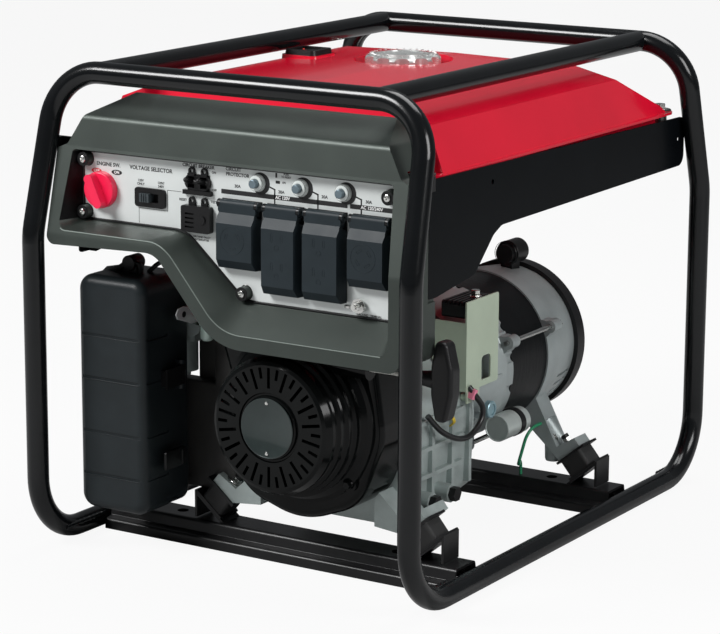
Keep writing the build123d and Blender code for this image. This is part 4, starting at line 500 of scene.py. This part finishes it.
put(linkage, swept(joint_route, [0.0055, 0.005, 0.0045, 0.005], 10))
put(linkage, swept(link_route, 0.0032, 10))
put(linkage, turned([(0, -11), (8.6, -11), (9.2, -10), (9.2, 10), (8.6, 11), (0, 11)], 28),
    stand(mm(-176, -262, 337), (0, -1, 0)))
put(linkage, slab(rounded(24, 16, 3), 10, 1.5), stand(mm(-178, -262, 324)))
put(linkage, swept(curve_through(rod_route), 0.0028, 10))
build("cleaner_top_linkage", linkage, moulded_black)

# ---------------------------------------------------------------- carburettor fittings and hoses
# Bright stamped tab and black eye on the choke lever, and a translucent strainer cup with its hose.
# Black rubber hose feeds the carburettor, and a wire in green sleeve earths the frame.
lever_bright = finish("lever_bright", (0.72, 0.73, 0.74), 0.34, metallic=0.5, mottle=(60, 0.06))
cup_green = finish("cup_green", (0.52, 0.66, 0.60), 0.25, coat=0.4, mottle=(40, 0.04))
hose_rubber = finish("hose_rubber", (0.010, 0.010, 0.010), 0.42, mottle=(60, 0.15), grain=(800, 0.1))
green_sleeve = finish("green_sleeve", (0.02, 0.22, 0.10), 0.4, mottle=(60, 0.1), grain=(700, 0.05))
dress(hose_rubber, "fuel_hose")
dress(green_sleeve, "earth_wire")
tab, eye = bmesh.new(), bmesh.new()
put(tab, slab([(-271, 284), (-266, 290), (-255, 291), (-236, 286), (-228, 283), (-228, 268), (-240, 268),
               (-256, 274), (-268, 278)], 1.6, 0.3, 1), stand(mm(-110.9, 0, 0), (1, 0, 0), (0, 1, 0)))
put(eye, turned([(0, 0), (3.6, 0), (3.6, 0.35), (0, 0.35)], 24), stand(mm(-109.3, -256, 282), (1, 0, 0)))
build("choke_tab", tab, lever_bright, body="choke")
build("choke_eye", eye, fitting_black, body="choke")
cup, spigot = bmesh.new(), bmesh.new()
put(cup, turned([(0, 0), (5.5, 0), (8, 2.5), (8.2, 17), (9.4, 18), (9.4, 20.5), (6.4, 22), (6.0, 27),
                 (4, 28.5), (0, 28.5)], 32), stand(mm(-98, -226, 247)))
spigot_route = [mm(-98, -226, 270), mm(-98, -222, 280), mm(-104, -212, 288), mm(-112, -206, 290)]
put(spigot, swept(curve_through(spigot_route), 0.0032, 10))
build("fuel_strainer_cup", cup, cup_green)
build("strainer_spigot", spigot, hose_rubber)

# ---------------------------------------------------------------- cylinder shroud and throttle stay
# Deep black pressing that leads the cooling air round the cylinder, stiffened by a raised panel, with
# a bright stamped stay in front of it for the throttle.
shroud_y, stay_y = -190, -212
shroud = bmesh.new()
shroud_place = stand(mm(0, shroud_y, 0), (0, -1, 0), (1, 0, 0))
put(shroud, slab([(-150, 70), (-142, 62), (-84, 62), (-70, 78), (-70, 284), (-78, 292), (-92, 292),
                  (-100, 284), (-100, 192), (-158, 192), (-158, 82)], 20, 4.0, 3), shroud_place)
put(shroud, slab([(-134, 186), (-94, 186), (-94, 268), (-134, 268)], 2, 0.5, 1), shroud_place)
build("cylinder_shroud", shroud, stove_black)
stay = bmesh.new()
put(stay, slab([(-167, 158), (-160, 158), (-159, 168), (-163, 176), (-160, 186), (-164, 206), (-171, 206),
                (-169, 180)], 1.6, 0.3, 1), stand(mm(0, stay_y, 0), (0, -1, 0), (1, 0, 0)))
build("throttle_stay", stay, lever_bright)

# ---------------------------------------------------------------- fuel tank
# Two deep-drawn pressings in bright red enamel, rolled together at the rim and bolted down through
# rubber bushes. A knurled metal cap closes the filler, beside a float gauge with a red needle.
red_enamel = finish("red_enamel", (0.54, 0.004, 0.022), 0.16, coat=0.35, mottle=(9, 0.06), grain=(45, 0.04))
cap_metal = finish("cap_metal", (0.64, 0.65, 0.64), 0.28, metallic=0.8, mottle=(40, 0.08), grain=(600, 0.1))
needle_red = finish("needle_red", (0.6, 0.02, 0.01), 0.4)
dress(red_enamel, "fuel_tank")
dress(cap_metal, "fuel_cap")
dress(moulded_black, "fuel_gauge")
dress(needle_red, "gauge_needle")
dress(plated, "tank_mounts")
cap_low, cap_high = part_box("fuel_cap")
cap_radius = (cap_high.x - cap_low.x) * 500
cap_top = Vector(((cap_low.x + cap_high.x) / 2, (cap_low.y + cap_high.y) / 2, cap_high.z))
rib_count, rib_radius = 30, cap_radius - 7.5
knurl = bmesh.new()
for k in range(rib_count):
    a = math.tau * k / rib_count
    out = Vector((math.cos(a), math.sin(a), 0))
    place = stand(cap_top + out * rib_radius / 1000, (0, 0, 1), out)
    put(knurl, slab(rounded(5.5, 1.8, 0.8, 2), 0.8, 0.3, 1), place)
put(knurl, turned([(cap_radius - 22, 0.01), (cap_radius - 22, 0.9), (cap_radius - 20.5, 1.1),
                   (cap_radius - 19, 0.9), (cap_radius - 19, 0.01), (cap_radius - 22, 0.01)], 48),
    Matrix.Translation(cap_top))
build("cap_ribs", knurl, cap_metal, body="cap")
flange_z, bush_columns, bush_rows = 475, (-213, 213), (-262, 310)
bushes = bmesh.new()
for x in bush_columns:
    for y in bush_rows:
        put(bushes, turned([(5, 0.05), (13.5, 0.05), (14.5, 1.0), (14.0, 2.8), (12.5, 3.4), (8.2, 3.4),
                            (5, 3.4), (5, 0.05)], 28), stand(mm(x, y, flange_z)))
build("tank_bushes", bushes, mount_gum)

# ---------------------------------------------------------------- side covers
# One folded sheet on each side, in gloss black enamel. It closes the gap between the tank and the
# side of the cage.
cover_black = finish("cover_black", (0.0025, 0.0032, 0.004), 0.24, shine=0.05, mottle=(14, 0.15),
                     grain=(70, 0.04))
dress(cover_black, "side_cover_left", "side_cover_right")


# ---------------------------------------------------------------- control housing
# Large moulding sprayed in a dark metallic grey and screwed through four bosses. A thin black sheet on the
# left wall of its recess is painted shade, and a fine lip in a lighter grey, a painted highlight, follows the
# lower edge of its opening.
def rounded_corners(corners, radii, steps=10):
    """Outline with its corners rounded, as a list of (x, z) points."""
    line = []
    for index, (x, z) in enumerate(corners):
        here = Vector((x, z))
        back = (Vector(corners[index - 1]) - here).normalized()
        on = (Vector(corners[(index + 1) % len(corners)]) - here).normalized()
        half = back.angle(on) / 2
        reach = radii[index] / math.tan(half)
        centre = here + (back + on).normalized() * (radii[index] / math.sin(half))
        start, stop = here + back * reach - centre, here + on * reach - centre
        turn = start.angle_signed(stop)
        for k in range(steps + 1):
            a = -turn * k / steps
            line.append((centre.x + start.x * math.cos(a) - start.y * math.sin(a),
                         centre.y + start.x * math.sin(a) + start.y * math.cos(a)))
    return line


metallic_grey = finish("metallic_grey", (0.044, 0.054, 0.048), 0.46, metallic=0.55, coat=0.05,
                       mottle=(18, 0.08), grain=(1500, 0.12))
# A lighter grey for the lip, painted as the highlight along the edge of the opening.
rim_highlight_grey = finish("rim_highlight_grey", (0.12, 0.145, 0.13), 0.48, metallic=0.25, mottle=(18, 0.08), grain=(1500, 0.1))
dress(metallic_grey, "control_housing")
# Painted shade: a thin black sheet laid over the left wall of the recess, which lies in shadow.
left_wall = [mm(-221.0, -344.0, 385.5), mm(-209.2, -311, 393.6), mm(-209.2, -311, 472.4),
             mm(-213.7, -323.3, 474.0)]
painted_shade_sheet = bmesh.new()
wall = painted_shade_sheet.faces.new([painted_shade_sheet.verts.new(corner) for corner in left_wall])
bmesh.ops.solidify(painted_shade_sheet, geom=[wall], thickness=0.0004)
build("recess_painted_shade", painted_shade_sheet, moulded_black)
boss_y, boss_places = -319, ((-203, 463), (-205, 402), (203.6, 458.5), (15, 332))
boss_caps, boss_screws = bmesh.new(), bmesh.new()
for x, z in boss_places:
    place = stand(mm(x, boss_y, z), (0, -1, 0))
    put(boss_caps, turned([(3.2, 0.02), (7.6, 0.02), (7.9, 0.25), (7.6, 0.5), (4.9, 0.5), (4.6, 0.3),
                           (3.2, 0.3), (3.2, 0.02)], 28), place)
    put(boss_screws, turned([(0, 0.1), (4.3, 0.1), (4.4, 0.9), (3.9, 1.9), (2.7, 2.5), (1.7, 2.6),
                             (1.2, 1.3), (0, 1.2)], 24), place)
build("boss_caps", boss_caps, moulded_black)
build("boss_screws", boss_screws, plated)

# A thin black bar round the edge of the control plate in the recess is a painted shadow line.
face_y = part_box("control_plate")[0].y * 1000
plate_edge = rounded_corners([(208.6, 322.8), (14.5, 322.8), (-65.5, 393.8), (-208.6, 393.8), (-208.6, 472.2),
                              (208.6, 472.2)], [4, 35, 40, 4, 4, 4])
edge_shadow_bar = bmesh.new()
put(edge_shadow_bar, swept([mm(x, face_y - 0.5, z) for x, z in plate_edge], 0.0015, 8, closed=True))
build("plate_edge_painted_shadow", edge_shadow_bar, fitting_black)

# The lip is a painted highlight in a lighter grey than the housing. It follows the lower part of the opening
# from its lower right corner round to the left, and stops short of the right end. Above the bend in the
# housing's front it leans back with the front.
lip_y, lip_right, lip_top, bend_z, lean_back = -345.9, 214, 386, 377, 0.2364
opening = rounded_corners([(222.6, 291.4), (3.6, 291.4), (-73.0, 383.4), (-222.6, 383.4), (-222.6, 420),
                           (222.6, 420)], [12, 58, 45, 12, 1, 1])
edge = [(x, z) for x, z in opening if z < lip_top]
first = edge.index(min(edge, key=lambda point: point[1] - point[0]))
edge = [(x, z) for x, z in edge[first:] + edge[:first] if x < lip_right]
ridge = bmesh.new()
put(ridge, swept([mm(x, lip_y + max(0, z - bend_z) * lean_back, z) for x, z in edge], 0.0008, 8))
build("housing_lip_highlight", ridge, rim_highlight_grey)

# ---------------------------------------------------------------- control plate and its printing
# Pale painted steel plate. Words, bars and link lines are screen printed in black; the engine
# switch has a red mark for off and a black one for on.
pale_plate = finish("pale_plate", (0.66, 0.69, 0.68), 0.34, metallic=0.2, mottle=(25, 0.03),
                    grain=(900, 0.03))
print_black = finish("print_black", (0.010, 0.010, 0.011), 0.45, mottle=(60, 0.05))
print_white = finish("print_white", (0.80, 0.80, 0.79), 0.5, mottle=(60, 0.03))
print_red = finish("print_red", (0.55, 0.01, 0.02), 0.45, mottle=(60, 0.05))
dress(pale_plate, "control_plate")
dress(fitting_black, "panel_fittings", "breaker_toggle", "sensor_button")
ink, ink_gap = 0.12, 0.01


def on_plate(x, z, lift=0.07):
    """Matrix that stands a shape on the front of the control plate."""
    return stand(mm(x, face_y - lift, z), (0, -1, 0), (1, 0, 0))


def line_on_plate(shape, width, *points):
    """Printed line of one width through (x, z) points, with square joints."""
    for (x0, z0), (x1, z1) in zip(points, points[1:]):
        stroke = slab(rounded(math.hypot(x1 - x0, z1 - z0) + width, width, width * 0.1, 1), ink)
        slope = Matrix.Rotation(math.atan2(z1 - z0, x1 - x0), 4, "Z")
        put(shape, stroke, on_plate((x0 + x1) / 2, (z0 + z1) / 2, ink_gap) @ slope)


def lettering(shape, words, size, matrix):
    """Sets printed words into a shape, centred on the matrix, as a skin a tenth of a millimetre deep."""
    curve = bpy.data.curves.new("words", "FONT")
    curve.body = words
    curve.size = size / 1000
    curve.offset = 0.028 * size / 1000
    curve.extrude = 0.00006
    curve.resolution_u = 3
    curve.align_x = curve.align_y = "CENTER"
    held = add_object("words", curve)
    data = bpy.data.meshes.new_from_object(held.evaluated_get(bpy.context.evaluated_depsgraph_get()))
    bpy.data.objects.remove(held)
    bpy.data.curves.remove(curve)
    data.transform(matrix)
    shape.from_mesh(data)
    bpy.data.meshes.remove(data)


bar_z, off_place, on_place = 443.2, (-190.4, 449.8), (-161.9, 450.2)
resets = [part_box(f"reset_button_{number}") for number in (1, 2, 3)]
words = bmesh.new()
for text, size, x, z in (("ENGINE SW.", 6.1, -173.5, 458.3), ("VOLTAGE SELECTOR", 6.3, -113.9, 458.3),
                         ("120V\nONLY", 3.9, -128.2, 442.4), ("120V/\n240V", 3.9, -100.2, 441.8),
                         ("CIRCUIT BREAKER", 5.3, -48.4, 468.0), ("ON", 3.6, -27.4, 462.6),
                         ("OFF", 3.6, -27.0, 443.0), ("CIRCUIT", 5.4, -1.2, 468.7),
                         ("PROTECTOR", 5.4, 4.3, 463.0), ("30A", 4.8, 4.2, 450.4),
                         ("20A", 4.8, 62.2, 449.6), ("20A", 4.8, 118.4, 449.8), ("30A", 4.8, 174.6, 449.8),
                         ("PUSH\nTO RESET", 2.9, 68.6, 468.0), ("ON", 2.9, 65.6, 460.2),
                         ("TEST", 3.9, -27.8, 429.4), ("RESET", 3.9, -69.8, 428.2),
                         ("GROUND FAULT\nINTERRUPTER", 3.1, -44.5, 386.6),
                         ("GROUND TERMINAL", 3.4, 176.0, 325.6)):
    lettering(words, text, size, on_plate(x, z))
for width, height, corner, x, z in ((2.4, 5.2, 0.2, 55.6, 467.6), (5.6, 3.2, 0.2, 57.6, 460.2),
                                    (165.4, 5.2, 0.3, 65.1, bar_z), (55.2, 5.2, 0.3, 178.6, bar_z)):
    put(words, slab(rounded(width, height, corner, 1), ink), on_plate(x, z, ink_gap))
for low, high in resets:
    x, z = (low.x + high.x) * 500, (low.z + high.z) * 500
    put(words, turned([(0, 0), (12.2, 0), (12.2, 0.13), (0, 0.13)], 48), on_plate(x + 3.4, z - 0.4, 0.0))
    line_on_plate(words, 1.7, (x + 13.6, z - 2.5), (x + 22.0, z - 5.4), (x + 22.0, 435.4))
line_on_plate(words, 0.5, (-72, 436.8), (-91, 436.8), (-91, 413), (-131, 413), (-131, 396))
put(words, slab(ring_of(7.4, 32, stretch=0.4), ink), on_plate(*on_place, ink_gap))
build("plate_printing", words, print_black)
off_mark = bmesh.new()
put(off_mark, slab(ring_of(7.2, 32, stretch=0.42), ink), on_plate(*off_place, ink_gap))
build("off_mark", off_mark, print_red)
legends = bmesh.new()
for text, size, (x, z) in (("OFF", 4.6, off_place), ("ON", 4.6, on_place), ("AC 120V", 5.0, (64.0, bar_z)),
                           ("AC 120/240V", 5.0, (178.6, bar_z))):
    lettering(legends, text, size, on_plate(x, z, 0.2))
build("white_legends", legends, print_white)

# ---------------------------------------------------------------- circuit protectors
# Three protectors with small metal reset buttons. A pale rubber boot seals each one to the plate and
# leaves the button's face open.
boot_rubber = finish("boot_rubber", (0.66, 0.70, 0.68), 0.35, coat=0.3, mottle=(50, 0.04), grain=(500, 0.04))
button_metal = finish("button_metal", (0.16, 0.21, 0.24), 0.3, metallic=0.6, mottle=(80, 0.12),
                      grain=(900, 0.05))
dress(button_metal, "reset_button_1", "reset_button_2", "reset_button_3")
boots = bmesh.new()
for low, high in resets:
    inner = (high.x - low.x) * 500 + 0.35
    put(boots, turned([(inner, 0.1), (9.9, 0.1), (9.9, 1.2), (9.3, 2.2), (9.2, 4.4), (8.2, 5.9),
                       (inner + 1.2, 6.4), (inner, 6.1), (inner, 0.1)], 36),
        on_plate((low.x + high.x) * 500, (low.z + high.z) * 500, 0))
build("protector_boots", boots, boot_rubber)

# ---------------------------------------------------------------- engine switch, selector and ground stud
# Red moulded knob with a bar across it, a slate slider with four grip ridges in a black frame, and a
# plated stud with its wing nut.
knob_red = finish("knob_red", (0.80, 0.010, 0.065), 0.34, mottle=(40, 0.05), grain=(1100, 0.05))
slider_slate = finish("slider_slate", (0.035, 0.045, 0.05), 0.36, mottle=(50, 0.08), grain=(1200, 0.1))
dress(knob_red, "engine_switch_knob")
dress(slider_slate, "selector_slider")
dress(plated, "ground_stud", "wing_nut")
slider_low, slider_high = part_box("selector_slider")
slider_size = slider_high - slider_low
ridges = bmesh.new()
for share in (0.2, 0.4, 0.6, 0.8):
    place = slider_low + Vector((slider_size.x * share, 0.0001, slider_size.z / 2))
    put(ridges, slab(rounded(slider_size.z * 700, 0.9, 0.3, 2), 0.5, 0.2, 1),
        stand(place, (0, -1, 0), (0, 0, 1)))
build("slider_ridges", ridges, slider_slate, body="selector")


# ---------------------------------------------------------------- outlet lids
# Sprung flap lids in dark slate plastic, embossed with the shape of the socket behind each: a round
# one with three or four slots, or a pair with two blades and an earth pin.
def emboss(shape, corners, x, z, turn=0.0):
    """Fine raised line round a closed outline, on the front of a lid."""
    put(shape, swept([mm(u, v, 0) for u, v in corners], 0.00042, 6, closed=True),
        stand(mm(x, lid_y, z), (0, -1, 0), (1, 0, 0)) @ Matrix.Rotation(turn, 4, "Z"))


lid_slate = finish("lid_slate", (0.0145, 0.0215, 0.026), 0.48, shine=0.22, mottle=(50, 0.08),
                   grain=(1500, 0.12))
socket_radius, slot_circle = 15.5, 9
for number, slots in ((1, 3), (2, 0), (3, 0), (4, 4)):
    dress(lid_slate, f"outlet_lid_{number}")
    low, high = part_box(f"outlet_lid_{number}")
    middle, lid_y, height = (low.x + high.x) * 500, low.y * 1000 + 0.12, (high.z - low.z) * 1000
    raised = bmesh.new()
    if slots:
        x, z = middle - 2, low.z * 1000 + 0.43 * height
        emboss(raised, ring_of(socket_radius, 48), x, z)
        for k in range(slots):
            a = math.tau * k / slots + 0.6
            slot_x, slot_z = x + slot_circle * math.cos(a), z + slot_circle * math.sin(a)
            emboss(raised, rounded(2.4, 7.5, 1.0, 3), slot_x, slot_z, a)
    else:
        for share in (0.30, 0.62):
            z = low.z * 1000 + share * height
            emboss(raised, rounded(2.6, 9.5, 1.0, 3), middle - 7.5, z + 3)
            emboss(raised, rounded(2.6, 8.0, 1.0, 3), middle + 5.5, z + 3)
            emboss(raised, ring_of(2.8, 16), middle - 1.0, z - 7.5)
    build(f"lid_{number}_embossing", raised, lid_slate, body=f"lid_{number}")
